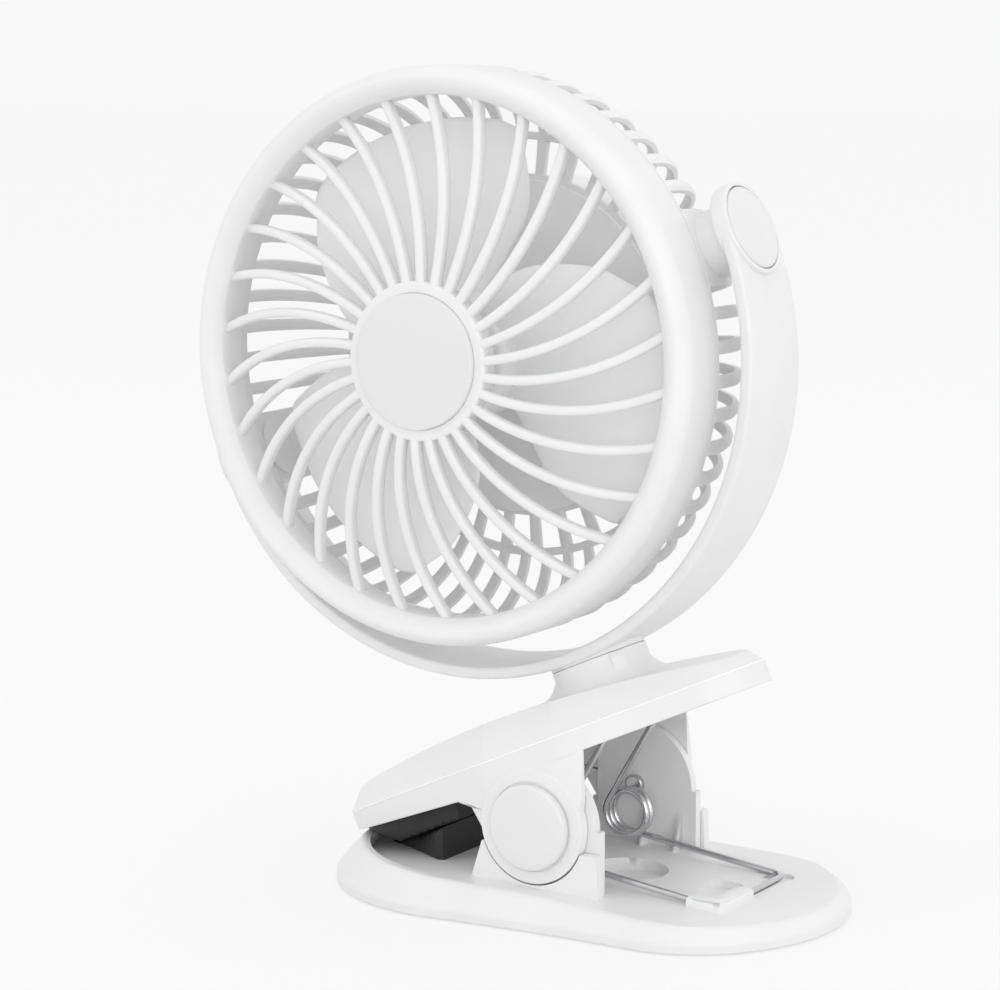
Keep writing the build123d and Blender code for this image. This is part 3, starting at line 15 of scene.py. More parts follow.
import bmesh
import bpy
import numpy as np
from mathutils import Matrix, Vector
from numpy.typing import ArrayLike

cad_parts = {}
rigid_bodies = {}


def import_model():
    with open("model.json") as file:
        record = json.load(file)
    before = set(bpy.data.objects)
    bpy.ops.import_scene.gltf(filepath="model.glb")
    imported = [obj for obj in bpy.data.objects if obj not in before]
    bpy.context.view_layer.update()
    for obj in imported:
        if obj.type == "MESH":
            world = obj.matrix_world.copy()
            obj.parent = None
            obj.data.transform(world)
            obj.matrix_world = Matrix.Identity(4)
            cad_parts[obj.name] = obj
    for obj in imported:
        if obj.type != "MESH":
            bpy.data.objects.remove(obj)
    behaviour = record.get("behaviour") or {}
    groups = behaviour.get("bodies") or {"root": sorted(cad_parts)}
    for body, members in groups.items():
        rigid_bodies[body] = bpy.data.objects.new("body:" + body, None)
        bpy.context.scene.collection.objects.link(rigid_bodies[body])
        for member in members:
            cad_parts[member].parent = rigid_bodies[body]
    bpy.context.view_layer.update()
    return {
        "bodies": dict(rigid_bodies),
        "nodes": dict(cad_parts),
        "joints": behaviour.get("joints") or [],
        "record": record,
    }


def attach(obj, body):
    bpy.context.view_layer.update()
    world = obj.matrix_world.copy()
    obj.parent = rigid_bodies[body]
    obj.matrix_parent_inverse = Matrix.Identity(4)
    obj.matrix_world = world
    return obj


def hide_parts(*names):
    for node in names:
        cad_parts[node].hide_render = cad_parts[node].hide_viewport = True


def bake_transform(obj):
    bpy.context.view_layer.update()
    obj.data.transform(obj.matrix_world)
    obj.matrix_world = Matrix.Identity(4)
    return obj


LOG = logging.getLogger("clip_fan")
MM = 0.001
MERGE_M = 2e-6
ALONG = np.array([1.0, 0.0, 0.0])
ACROSS = np.array([0.0, 1.0, 0.0])
UPWARDS = np.array([0.0, 0.0, 1.0])


# ----------------------------------------------------------------------- frames
@dataclass(frozen=True)
class TiltedFrame:
    """A working frame that leans in the X-Z plane and may stand away from the origin."""

    origin: tuple[float, float, float]
    lean_deg: float

    def place(self, points: np.ndarray) -> np.ndarray:
        """Turns points by the lean about Y and moves them to the frame's origin.

        Args:
            points: array of shape (..., 3) in this frame, in millimetres.

        Returns:
            The same points in the row frame, in millimetres.
        """
        lean = math.radians(self.lean_deg)
        turn = np.array([
            [math.cos(lean), 0.0, -math.sin(lean)],
            [0.0, 1.0, 0.0],
            [math.sin(lean), 0.0, math.cos(lean)],
        ])
        return points @ turn.T + np.array(self.origin)

    def moved(self, offset: tuple[float, float, float]) -> "TiltedFrame":
        """A frame with the same lean whose origin lies at an offset inside this one."""
        return TiltedFrame(tuple(self.place(np.array(offset, float))), self.lean_deg)


HINGE_Z = 25.1
JAW_LEAN_DEG = 24.0
HEAD_IN_JAW = (18.6, 0.0, 124.6)

GROUND = TiltedFrame((0.0, 0.0, 0.0), 0.0)
JAW = TiltedFrame((0.0, 0.0, HINGE_Z), JAW_LEAN_DEG)
HEAD = JAW.moved(HEAD_IN_JAW)


class Body(Enum):
    """The rigid bodies that pieces ride on."""

    BASE = "base"
    JAW = "jaw"
    YOKE = "yoke"
    HEAD = "head"
    ROTOR = "rotor"
    BUTTON = "button"


# --------------------------------------------------------------------- finishes
class Nodes:
    """A node tree of a material or a world that is filled node by node."""

    def __init__(self, owner: bpy.types.Material | bpy.types.World) -> None:
        """Turns the owner's nodes on and empties its tree.

        Args:
            owner: the material or world.
        """
        owner.use_nodes = True
        self._tree = owner.node_tree
        self._tree.nodes.clear()

    def add(self, kind: str, inputs: dict | None = None) -> bpy.types.Node:
        """Adds a node whose inputs are given as values or as the outputs that feed them.

        Args:
            kind: type of the node, without its prefix.
            inputs: values and feeding outputs, by the input's name or place.

        Returns:
            The node.
        """
        node = self._tree.nodes.new(f"ShaderNode{kind}")
        for key, value in (inputs or {}).items():
            if isinstance(value, bpy.types.NodeSocket):
                self._tree.links.new(value, node.inputs[key])
            else:
                node.inputs[key].default_value = value
        return node


@dataclass(frozen=True)
class Finish:
    """A procedural finish: base colour, gloss, and the fine unevenness of the real surface."""

    name: str
    slot: str
    color: tuple[float, float, float]
    roughness: float
    metallic: float = 0.0
    coat: float = 0.0
    coat_roughness: float = 0.15
    transmission: float = 0.0
    mottle: float = 0.02
    mottle_mm: float = 22.0
    gloss_spread: float = 0.05
    gloss_mm: float = 9.0
    grain_mm: float = 0.6
    bump_mm: float = 0.004

    @cache
    def material(self) -> bpy.types.Material:
        """Builds the node tree once and gives it back on later calls.

        Returns:
            A material whose colour, roughness and bump come from noise on Object coordinates.
        """
        material = bpy.data.materials.new(self.name)
        nodes = Nodes(material)
        place = nodes.add("TexCoord").outputs["Object"]
        shader = nodes.add("BsdfPrincipled", {
            "Base Color": self._mottled_color(nodes, place),
            "Roughness": self._varied_gloss(nodes, place),
            "Normal": self._fine_grain(nodes, place),
            "Metallic": self.metallic,
            "Coat Weight": self.coat,
            "Coat Roughness": self.coat_roughness,
            "Transmission Weight": self.transmission})
        nodes.add("OutputMaterial", {"Surface": shader.outputs["BSDF"]})
        return material

    def _noise(self, nodes: Nodes, place: bpy.types.NodeSocket, size_mm: float,
               detail: float) -> bpy.types.NodeSocket:
        """Noise whose features are about size_mm wide.

        Args:
            nodes: the tree to add to.
            place: the Object coordinates.
            size_mm: width of the features.
            detail: octaves of the noise.

        Returns:
            The output that carries it.
        """
        noise = nodes.add("TexNoise", {"Vector": place, "Scale": 1.0 / (size_mm * MM),
                                       "Detail": detail})
        return noise.outputs["Fac"]

    def _mottled_color(self, nodes: Nodes, place: bpy.types.NodeSocket) -> bpy.types.NodeSocket:
        """Colour that wanders a little between a darker and a lighter shade.

        Args:
            nodes: the tree to add to.
            place: the Object coordinates.

        Returns:
            The output that carries it.
        """
        ramp = nodes.add("ValToRGB", {"Fac": self._noise(nodes, place, self.mottle_mm, 3.0)})
        shades = ((0.3, 1.0 - self.mottle), (0.7, 1.0 + self.mottle))
        for stop, (position, share) in zip(ramp.color_ramp.elements, shades):
            stop.position = position
            stop.color = (*(min(1.0, level * share) for level in self.color), 1.0)
        return ramp.outputs["Color"]

    def _varied_gloss(self, nodes: Nodes, place: bpy.types.NodeSocket) -> bpy.types.NodeSocket:
        """Roughness that changes slowly over the surface, like handled plastic.

        Args:
            nodes: the tree to add to.
            place: the Object coordinates.

        Returns:
            The output that carries it.
        """
        spread = nodes.add("MapRange", {
            "Value": self._noise(nodes, place, self.gloss_mm, 4.0),
            "To Min": max(0.02, self.roughness - self.gloss_spread),
            "To Max": min(1.0, self.roughness + self.gloss_spread)})
        return spread.outputs["Result"]

    def _fine_grain(self, nodes: Nodes, place: bpy.types.NodeSocket) -> bpy.types.NodeSocket:
        """Bump from fine noise, a few thousandths of a millimetre high.

        Args:
            nodes: the tree to add to.
            place: the Object coordinates.

        Returns:
            The output that carries the bent normal.
        """
        bump = nodes.add("Bump", {"Height": self._noise(nodes, place, self.grain_mm, 2.0),
                                  "Strength": 1.0, "Distance": self.bump_mm * MM})
        return bump.outputs["Normal"]


class Looks(Enum):
    """The finishes of this fan."""

    HOUSING = Finish("housing_white_satin", "housing_white", (0.85, 0.85, 0.855), 0.36)
    GRILLE = Finish("grille_white_satin", "grille_white", (0.865, 0.865, 0.87), 0.36)
    CAP = Finish("cap_white_satin", "cap_white", (0.815, 0.815, 0.82), 0.38)
    # The crease bead's white is lighter than the housing: a painted highlight for the glint along
    # the jaw's crease.
    EDGE = Finish("edge_white_painted_highlight", "housing_white", (0.96, 0.96, 0.96), 0.2)
    BADGE = Finish("badge_white_matte", "badge_white", (0.80, 0.80, 0.805), 0.6, grain_mm=0.25,
                   bump_mm=0.01)
    # Inner and blade whites are lighter than the housing: painted light that lifts the shade inside
    # the grille and pod.
    INNER = Finish("inner_white_painted_light", "inner_white", (0.95, 0.95, 0.95), 0.5)
    BLADE = Finish("blade_white_painted_light", "blade_white", (0.95, 0.95, 0.95), 0.36)
    COVER = Finish("cover_white_grained", "cover_white", (0.80, 0.80, 0.80), 0.55, grain_mm=0.35,
                   bump_mm=0.02)
    BUSH = Finish("acetal_natural", "bush_plastic", (0.70, 0.70, 0.66), 0.4)
    RUBBER = Finish("pad_black_rubber", "pad_rubber", (0.018, 0.018, 0.019), 0.55, mottle=0.2,
                    grain_mm=0.3, bump_mm=0.02)
    FOOT = Finish("foot_dark_rubber", "foot_rubber", (0.03, 0.03, 0.03), 0.7, mottle=0.2,
                  grain_mm=0.3, bump_mm=0.02)
    WIRE = Finish("spring_bright_wire", "spring_steel", (0.62, 0.62, 0.63), 0.16, metallic=1.0,
                  grain_mm=0.15, bump_mm=0.002)
    STEEL = Finish("screw_plated_steel", "screw_steel", (0.58, 0.58, 0.58), 0.28, metallic=1.0)
    MOTOR = Finish("motor_zinc_steel", "motor_steel", (0.55, 0.55, 0.56), 0.35, metallic=1.0)
    BRONZE = Finish("bearing_bronze_sintered", "bearing_bronze", (0.50, 0.33, 0.16), 0.45,
                    metallic=1.0)
    MAGNET = Finish("magnet_dark", "magnet_grey", (0.05, 0.05, 0.055), 0.6)
    COPPER = Finish("rotor_copper_wound", "rotor_copper", (0.55, 0.25, 0.12), 0.4, metallic=0.9)
    BOARD = Finish("board_green_mask", "board_green", (0.02, 0.13, 0.05), 0.3, coat=0.3)
    SWITCH = Finish("switch_black_nylon", "switch_black", (0.02, 0.02, 0.02), 0.5)
    GUIDE = Finish("guide_clear_acrylic", "guide_clear", (0.85, 0.85, 0.85), 0.2, transmission=0.6)
    CELL = Finish("cell_blue_wrap", "cell_wrap", (0.03, 0.12, 0.38), 0.3)


NODE_LOOKS: dict[str, Looks] = {
    "lower_jaw": Looks.HOUSING, "base_cover": Looks.COVER, "rubber_feet": Looks.FOOT,
    "base_screws": Looks.STEEL, "lower_jaw_pad": Looks.RUBBER, "hinge_cap_near": Looks.CAP,
    "hinge_cap_far": Looks.CAP, "hinge_screws": Looks.STEEL, "clip_spring": Looks.WIRE,
    "upper_jaw": Looks.HOUSING, "upper_jaw_pad": Looks.RUBBER, "swivel_bush": Looks.BUSH,
    "yoke_arm": Looks.HOUSING, "swivel_washer": Looks.STEEL, "swivel_screw": Looks.STEEL,
    "yoke_button_right": Looks.CAP, "yoke_button_left": Looks.CAP, "front_grille": Looks.GRILLE,
    "grille_cap": Looks.BADGE, "rear_cage": Looks.GRILLE, "tilt_washers": Looks.BUSH,
    "tilt_screws": Looks.STEEL, "motor_plate": Looks.INNER, "rear_pod": Looks.HOUSING,
    "pod_screws": Looks.STEEL, "circuit_board": Looks.BOARD, "key_switch": Looks.SWITCH,
    "usb_socket": Looks.STEEL, "light_guides": Looks.GUIDE, "battery_cell": Looks.CELL,
    "motor_can": Looks.MOTOR, "motor_bearings": Looks.BRONZE, "motor_magnets": Looks.MAGNET,
    "power_button": Looks.CAP, "impeller": Looks.BLADE, "impeller_nut": Looks.BUSH,
    "motor_shaft": Looks.MOTOR, "motor_rotor": Looks.COPPER,
}


# --------------------------------------------------------------------- surfaces
def rounded(corners: ArrayLike, radius: ArrayLike, closed: bool = True,
            steps: int = 5) -> np.ndarray:
    """Rounds the corners of outlines.

    Each corner P between unit directions a and b becomes the curve
    (1-t)^2 (P + k a) + 2 t (1-t) P + t^2 (P + k b), with k = radius / tan(half the corner's angle).

    Args:
        corners: array (..., corners, coordinates) of one outline or of many.
        radius: radius at each corner, or one for all.
        closed: whether the last corner joins the first.
        steps: parts of each rounded corner.

    Returns:
        Array (..., corners * (steps + 1), coordinates).
    """
    points = np.asarray(corners, float)
    radii = np.broadcast_to(np.asarray(radius, float), points.shape[:-1])
    before = np.roll(points, 1, axis=-2) - points
    after = np.roll(points, -1, axis=-2) - points
    length_before = np.maximum(np.linalg.norm(before, axis=-1), 1e-9)
    length_after = np.maximum(np.linalg.norm(after, axis=-1), 1e-9)
    cosine = (before * after).sum(axis=-1) / (length_before * length_after)
    half = 0.5 * np.arccos(np.clip(cosine, -0.9999, 0.9999))
    reach = np.minimum(radii / np.tan(half), 0.48 * np.minimum(length_before, length_after))
    if not closed:
        reach = reach.copy()
        reach[..., 0] = 0.0
        reach[..., -1] = 0.0
    start = points + before * (reach / length_before)[..., None]
    end = points + after * (reach / length_after)[..., None]
    share = np.linspace(0.0, 1.0, steps + 1)[:, None]
    curve = ((1 - share) ** 2 * start[..., None, :] + 2 * share * (1 - share) * points[..., None, :]
             + share ** 2 * end[..., None, :])
    return curve.reshape(*points.shape[:-2], -1, points.shape[-1])


def box_section(width: ArrayLike, height: ArrayLike, radius: float, steps: int = 4) -> np.ndarray:
    """Rounded rectangles about the middle, one for each width and height.

    Args:
        width: widths along the first coordinate.
        height: heights along the second coordinate.
        radius: radius of the corners.
        steps: parts of each corner.

    Returns:
        Array (..., points, 2).
    """
    half_w = np.asarray(width, float)[..., None] / 2
    half_h = np.asarray(height, float)[..., None] / 2
    signs = np.array([(-1, -1), (1, -1), (1, 1), (-1, 1)], float)
    corners = np.stack(np.broadcast_arrays(half_w * signs[:, 0], half_h * signs[:, 1]), axis=-1)
    return rounded(corners, radius, steps=steps)


class Axis(Enum):
    """The axis of a turn, with the place of the height among a point's coordinates."""

    X = 0
    Y = 1
    Z = 2


def turned(profile: np.ndarray, axis: Axis = Axis.Y, steps: int = 96) -> np.ndarray:
    """Turns a profile of radius r and height h: (r cos a, h, r sin a) for a round the whole turn.

    Args:
        profile: array (points, 2) of radius and place along the axis.
        axis: the axis of the turn.
        steps: parts of the turn.

    Returns:
        Grid (steps, points, 3).
    """
    angle = np.linspace(0.0, 2 * np.pi, steps, endpoint=False)[:, None]
    coordinates = [profile[:, 0] * np.cos(angle), profile[:, 0] * np.sin(angle)]
    coordinates.insert(axis.value, np.broadcast_to(profile[:, 1], coordinates[0].shape))
    return np.stack(coordinates, axis=-1)


def closed_ends(grid: np.ndarray) -> np.ndarray:
    """Adds a first and a last row that are drawn together to a point, which close the ends."""
    first, last = (np.broadcast_to(row.mean(axis=0), grid[:1].shape) for row in (grid[0], grid[-1]))
    return np.concatenate([first, grid, last])


def swept(path: np.ndarray, section: np.ndarray, side: np.ndarray, up: np.ndarray) -> np.ndarray:
    """Carries a section along a path: path + s * side + t * up for each section point (s, t).

    Args:
        path: array (rows, 3).
        section: array (points, 2) or (rows, points, 2).
        side: unit direction of the first section coordinate, one for all rows or one per row.
        up: unit direction of the second section coordinate, likewise.

    Returns:
        Grid (rows + 2, points, 3) with closed ends.
    """
    side, up = np.broadcast_to(side, path.shape), np.broadcast_to(up, path.shape)
    return closed_ends(path[:, None] + section[..., 0, None] * side[:, None]
                       + section[..., 1, None] * up[:, None])


def evenly(points: np.ndarray, count: int, *carried: np.ndarray) -> np.ndarray:
    """Spaces points evenly along a line through given points, without the last.

    Args:
        points: array (points, coordinates) that the length is measured on.
        count: how many even points to make.
        carried: arrays whose values are read off at the same places.

    Returns:
        Array (count, coordinates and carried values).
    """
    length = np.insert(np.cumsum(np.linalg.norm(np.diff(points, axis=0), axis=1)), 0, 0.0)
    place = np.linspace(0, length[-1], count, endpoint=False)
    columns = np.hstack([points, *carried]).T
    return np.stack([np.interp(place, length, values) for values in columns], 1)


def unit_rows(vectors: np.ndarray) -> np.ndarray:
    """Vectors scaled to length one."""
    return vectors / np.maximum(np.linalg.norm(vectors, axis=-1, keepdims=True), 1e-12)


def smooth_curve(points: np.ndarray, steps: int) -> np.ndarray:
    """A Catmull-Rom curve through points: cubic pieces whose ends take the neighbours' slope.

    Args:
        points: array (points, coordinates).
        steps: how many points to make.

    Returns:
        Array (steps, coordinates).
    """
    known = np.asarray(points, float)
    padded = np.vstack([2 * known[0] - known[1], known, 2 * known[-1] - known[-2]])
    place = np.linspace(0.0, len(known) - 1.0, steps)
    piece = np.minimum(place.astype(int), len(known) - 2)
    t = (place - piece)[:, None]
    a, b, c, d = (padded[piece + k] for k in range(4))
    return 0.5 * (2 * b + (c - a) * t + (2 * a - 5 * b + 4 * c - d) * t ** 2
                  + (3 * b - a - 3 * c + d) * t ** 3)


class Skin:
    """Collects grids of points in millimetres and makes one closed, smooth mesh of them."""

    def __init__(self, frame: TiltedFrame) -> None:
        """Starts an empty skin in a working frame.

        Args:
            frame: the working frame of its grids.
        """
        self._frame = frame
        self._vertices: list[np.ndarray] = []
        self._faces: list[np.ndarray] = []
        self._count = 0

    def add(self, grid: np.ndarray, wrap_rows: bool = False, wrap_columns: bool = False) -> "Skin":
        """Adds a grid of points as quads.

        Args:
            grid: array (rows, columns, 3).
            wrap_rows: whether the last row joins the first.
            wrap_columns: whether the last column joins the first.

        Returns:
            The skin itself, so that calls can follow one another.
        """
        rows, columns = grid.shape[:2]
        index = np.arange(rows * columns).reshape(rows, columns) + self._count
        if wrap_rows:
            index = np.vstack([index, index[:1]])
        if wrap_columns:
            index = np.hstack([index, index[:, :1]])
        corners = (index[:-1, :-1], index[1:, :-1], index[1:, 1:], index[:-1, 1:])
        self._faces.append(np.stack(corners, axis=-1).reshape(-1, 4))
        self._vertices.append(grid.reshape(-1, 3))
        self._count += rows * columns
        return self

    def turn(self, corners: ArrayLike, radii: ArrayLike, axis: Axis = Axis.Y, steps: int = 96,
             side: int = 1, place: tuple[float, float, float] = (0.0, 0.0, 0.0),
             corner_steps: int = 5) -> "Skin":
        """Adds a turned solid; a profile that starts and ends on the axis is closed by itself.

        Args:
            corners: corners of the profile, as radius and place along the axis.
            radii: rounding of each corner, or one for all.
            axis: the axis of the turn.
            steps: parts of the turn.
            side: 1, or -1 for the mirror image along the axis.
            place: where the axis passes.
            corner_steps: parts of each rounded corner.

        Returns:
            The skin itself.
        """
        on_axis = corners[0][0] == 0 and corners[-1][0] == 0
        profile = rounded(corners, radii, not on_axis, corner_steps) * (1, side)
        return self.add(turned(profile, axis, steps) + np.array(place), True, not on_axis)

    def piece(self, name: str, look: "Looks", body: Body | None, *nodes: str,
              sharp_deg: float = 40.0) -> bpy.types.Object:
        """Makes the object, merges its seams and poles and turns its faces outwards.

        Args:
            name: name of the piece.
            look: its finish.
            body: the body it rides on, or None.
            nodes: CAD nodes that it stands for.
            sharp_deg: edges that bend more than this stay sharp.

        Returns:
            The finished object.
        """
        points = self._frame.place(np.concatenate(self._vertices)) * MM
        mesh = bpy.data.meshes.new(name)
        mesh.from_pydata(points.tolist(), [], np.concatenate(self._faces).tolist())
        work = bmesh.new()
        work.from_mesh(mesh)
        bmesh.ops.remove_doubles(work, verts=work.verts, dist=MERGE_M)
        bmesh.ops.recalc_face_normals(work, faces=work.faces)
        work.to_mesh(mesh)
        work.free()
        return finish_piece(mesh, name, look, body, nodes, sharp_deg)


def finish_piece(mesh: bpy.types.Mesh, name: str, look: "Looks", body: Body | None,
                 nodes: tuple[str, ...], sharp_deg: float) -> bpy.types.Object:
    """Shades a mesh smoothly, dresses it and binds it to its body.

    Args:
        mesh: the mesh, with its place in its points.
        name: name of the piece.
        look: its finish.
        body: the body it rides on, or None.
        nodes: CAD nodes that it stands for.
        sharp_deg: edges that bend more than this stay sharp.

    Returns:
        The object.
    """
    mesh.polygons.foreach_set("use_smooth", np.ones(len(mesh.polygons), bool))
    mesh.set_sharp_from_angle(angle=math.radians(sharp_deg))
    mesh.materials.clear()
    mesh.materials.append(look.value.material())
    item = bpy.data.objects.new(name, mesh)
    bpy.context.scene.collection.objects.link(item)
    if body is not None:
        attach(item, body.value)
    if nodes:
        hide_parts(*nodes)
    LOG.info("built %s: %d faces, finish %s", name, len(mesh.polygons), look.value.name)
    return item


@dataclass(frozen=True)
class EdgeZone:
    """A box of the row frame, in millimetres, in which edges are rounded.

    Edges within a spared upright round, given by its centre and radius, are left as they are.
    """

    low: tuple[float, float, float]
    high: tuple[float, float, float]
    round_mm: float
    spared: tuple[float, float, float] = (0.0, 0.0, 0.0)

    def holds(self, points: np.ndarray) -> np.ndarray:
        """Tells which points lie in the box and outside the spared round.

        Args:
            points: array (points, 3) in millimetres.

        Returns:
            An array of booleans.
        """
        centre_x, centre_y, radius = self.spared
        clear = np.hypot(points[:, 0] - centre_x, points[:, 1] - centre_y) >= radius
        return ((points >= self.low) & (points <= self.high)).all(axis=1) & clear


@dataclass
class Moulding:
    """A moulded part taken over from the frame: seams merged, flats joined, edges rounded."""

    node: str
    body: Body
    look: Looks
    zones: tuple[EdgeZone, ...] = ()
    edge_deg: float = 30.0
    flat_deg: float = 0.4
    segments: int = 3

    def build(self, frame: dict) -> bpy.types.Object:
        """Copies the node's mesh, merges it and rounds the edges that lie in its zones.


        Returns:
            The piece that stands for the node.
        """
        name = f"{self.node}_moulding"
        mesh = frame["nodes"][self.node].data.copy()
        mesh.name = name
        bends = self._merge(mesh)
        item = finish_piece(mesh, name, self.look, self.body, (self.node,), self.edge_deg)
        if self.zones:
            self._round_edges(item, bends)
        flats = item.modifiers.new("flat_faces", "WEIGHTED_NORMAL")
        flats.keep_sharp = True
        return item

    def _merge(self, mesh: bpy.types.Mesh) -> np.ndarray:
        """Merges the mesh's seams and flats.

        Args:
            mesh: the mesh to change.

        Returns:
            The angle between the faces at each edge.
        """
        work = bmesh.new()
        work.from_mesh(mesh)
        bmesh.ops.remove_doubles(work, verts=work.verts, dist=MERGE_M)
        bmesh.ops.dissolve_limit(work, angle_limit=math.radians(self.flat_deg), verts=work.verts,
                                 edges=work.edges)
        bends = np.array([edge.calc_face_angle(0.0) for edge in work.edges])
        work.to_mesh(mesh)
        work.free()
        return bends

    def _round_edges(self, item: bpy.types.Object, bends: np.ndarray) -> None:
        """Weighs the edges in the zones by their round and adds the bevel that follows it.

        Args:
            item: the object.
            bends: angle between the faces at each edge, in radians.
        """
        mesh = item.data
        points = np.empty(len(mesh.vertices) * 3)
        mesh.vertices.foreach_get("co", points)
        ends = np.empty(len(mesh.edges) * 2, int)
        mesh.edges.foreach_get("vertices", ends)
        weight = np.zeros(len(mesh.edges))
        largest = max(zone.round_mm for zone in self.zones)
        for zone in self.zones:
            inside = zone.holds(points.reshape(-1, 3) / MM)
            chosen = inside[ends.reshape(-1, 2)].all(axis=1) & (bends > math.radians(self.edge_deg))
            weight[chosen] = zone.round_mm / largest
        layer = mesh.attributes.new("bevel_weight_edge", "FLOAT", "EDGE")
        layer.data.foreach_set("value", weight)
        bevel = item.modifiers.new("rounded_edges", "BEVEL")
        bevel.width = largest * MM
        bevel.segments = self.segments
        bevel.limit_method = "WEIGHT"
        bevel.use_clamp_overlap = False
        bevel.harden_normals = True


BASE_ZONES = (
    EdgeZone((-80, -50, 3.3), (80, 50, 3.5), 0.8),
    EdgeZone((-80, -50, 0.3), (80, 50, 0.5), 0.4),
    EdgeZone((-28, -50, 5.5), (80, -37.5, 12.0), 1.1),
    EdgeZone((-28, 37.5, 5.5), (80, 50, 12.0), 1.1),
    EdgeZone((52, -50, 5.5), (80, 50, 12.0), 1.1, (36.0, 0.0, 26.5)),
    EdgeZone((-80, -50, 5.5), (-27, 50, 13.0), 1.1, (-28.2, 0.0, 38.2)),
)


# --------------------------------------------------------------------- the fan
@dataclass
class Grille:
    """Bezel with its rounded bead, hub ring, swirling ribs and the plain cap in the middle."""

    opening_r: float = 69.5
    bead: tuple[tuple[float, float], ...] = (
        (77.2, -11.2), (77.2, -24.6), (76.8, -26.7), (75.9, -28.4), (74.3, -29.4), (72.5, -29.0),
        (70.8, -27.7), (69.5, -25.9), (69.5, -17.0), (71.9, -17.0), (71.9, -25.4), (73.6, -26.6),
        (75.0, -24.6), (75.0, -11.2))
    bead_radii: tuple[float, ...] = (0.3, 4, 4, 4, 4, 4, 4, 1.6, 0.6, 0.3, 0.4, 0.4, 0.4, 0.3)
    ribs: int = 30
    rib_width: float = 2.6
    rib_depth: float = 3.4
    rib_soft: float = 1.05
    rib_roots: tuple[float, float] = (1.2, 1.0)
    swirl_deg: float = 16.5
    phase_deg: float = 3.4
    dome_rim: float = -24.6
    dome_hub: float = -34.4
    hub_r: float = 21.2
    hub_wall: float = 3.1
    hub_depth: float = 5.5
    floor: float = 1.6
    cap_front: float = -36.0
    cap_gap: float = 0.05

    def build(self) -> None:
        """Builds the grille and its cap."""
        skin = Skin(HEAD)
        skin.turn(self.bead, self.bead_radii, steps=180, corner_steps=4)
        self._hub(skin)
        for index in range(self.ribs):
            self._rib(skin, self.phase_deg + 360.0 * index / self.ribs)
        skin.piece("grille_moulding", Looks.GRILLE, Body.HEAD, "front_grille")
        self._cap()

    def _hub(self, skin: Skin) -> None:
        """The ring round the cap, with its floor.

        Args:
            skin: where the grids go.
        """
        inner, back = self.hub_r - self.hub_wall, self.dome_hub + self.hub_depth
        corners = [(0, back - self.floor), (inner, back - self.floor), (inner, self.dome_hub),
                   (self.hub_r, self.dome_hub), (self.hub_r, back), (0, back)]
        skin.turn(corners, (0, 0.2, 0.3, 1.0, 0.4, 0), steps=120)

    def _dome(self, radius: np.ndarray) -> np.ndarray:
        """Front of the dome: rim + (hub - rim) (1 - (1 - share)^1.7), share from rim to hub."""
        share = np.clip((self.opening_r - radius) / (self.opening_r - self.hub_r), 0, 1)
        return self.dome_rim + (self.dome_hub - self.dome_rim) * (1 - (1 - share) ** 1.7)

    def _rib(self, skin: Skin, start_deg: float) -> None:
        """A rib whose angle grows with share^1.25 of the way out, with rounded long edges.

        Args:
            skin: where the grids go.
            start_deg: angle of its inner end.
        """
        inner_root, outer_root = self.rib_roots
        radius = np.linspace(self.hub_r - inner_root, self.opening_r + outer_root, 30)
        share = np.clip((radius - self.hub_r) / (self.opening_r - self.hub_r), 0, None)
        angle = np.radians(start_deg + self.swirl_deg * share ** 1.25)
        middle = self._dome(radius) + self.rib_depth / 2
        path = np.stack([radius * np.cos(angle), middle, radius * np.sin(angle)], 1)
        flat = np.gradient(path, axis=0) * (1, 0, 1)
        along = unit_rows(flat)
        side = np.stack([-along[:, 2], np.zeros(len(along)), along[:, 0]], 1)
        section = box_section(self.rib_width, self.rib_depth, self.rib_soft, steps=3)
        skin.add(swept(path, section, side, -ACROSS), wrap_columns=True)

    def _cap(self) -> None:
        """The plain round cap, very slightly crowned and soft at its edge."""
        radius = self.hub_r - self.hub_wall - self.cap_gap
        back = self.dome_hub + self.hub_depth - self.floor
        crown = [(radius * share, self.cap_front + 0.25 * share ** 2)
                 for share in (0.0, 0.3, 0.6, 0.85)]
        corners = crown + [(radius, self.cap_front + 0.3), (radius, back), (0, back)]
        Skin(HEAD).turn(corners, (0, 0, 0, 0, 0.45, 0.2, 0), steps=120).piece(
            "grille_badge", Looks.BADGE, Body.HEAD, "grille_cap")


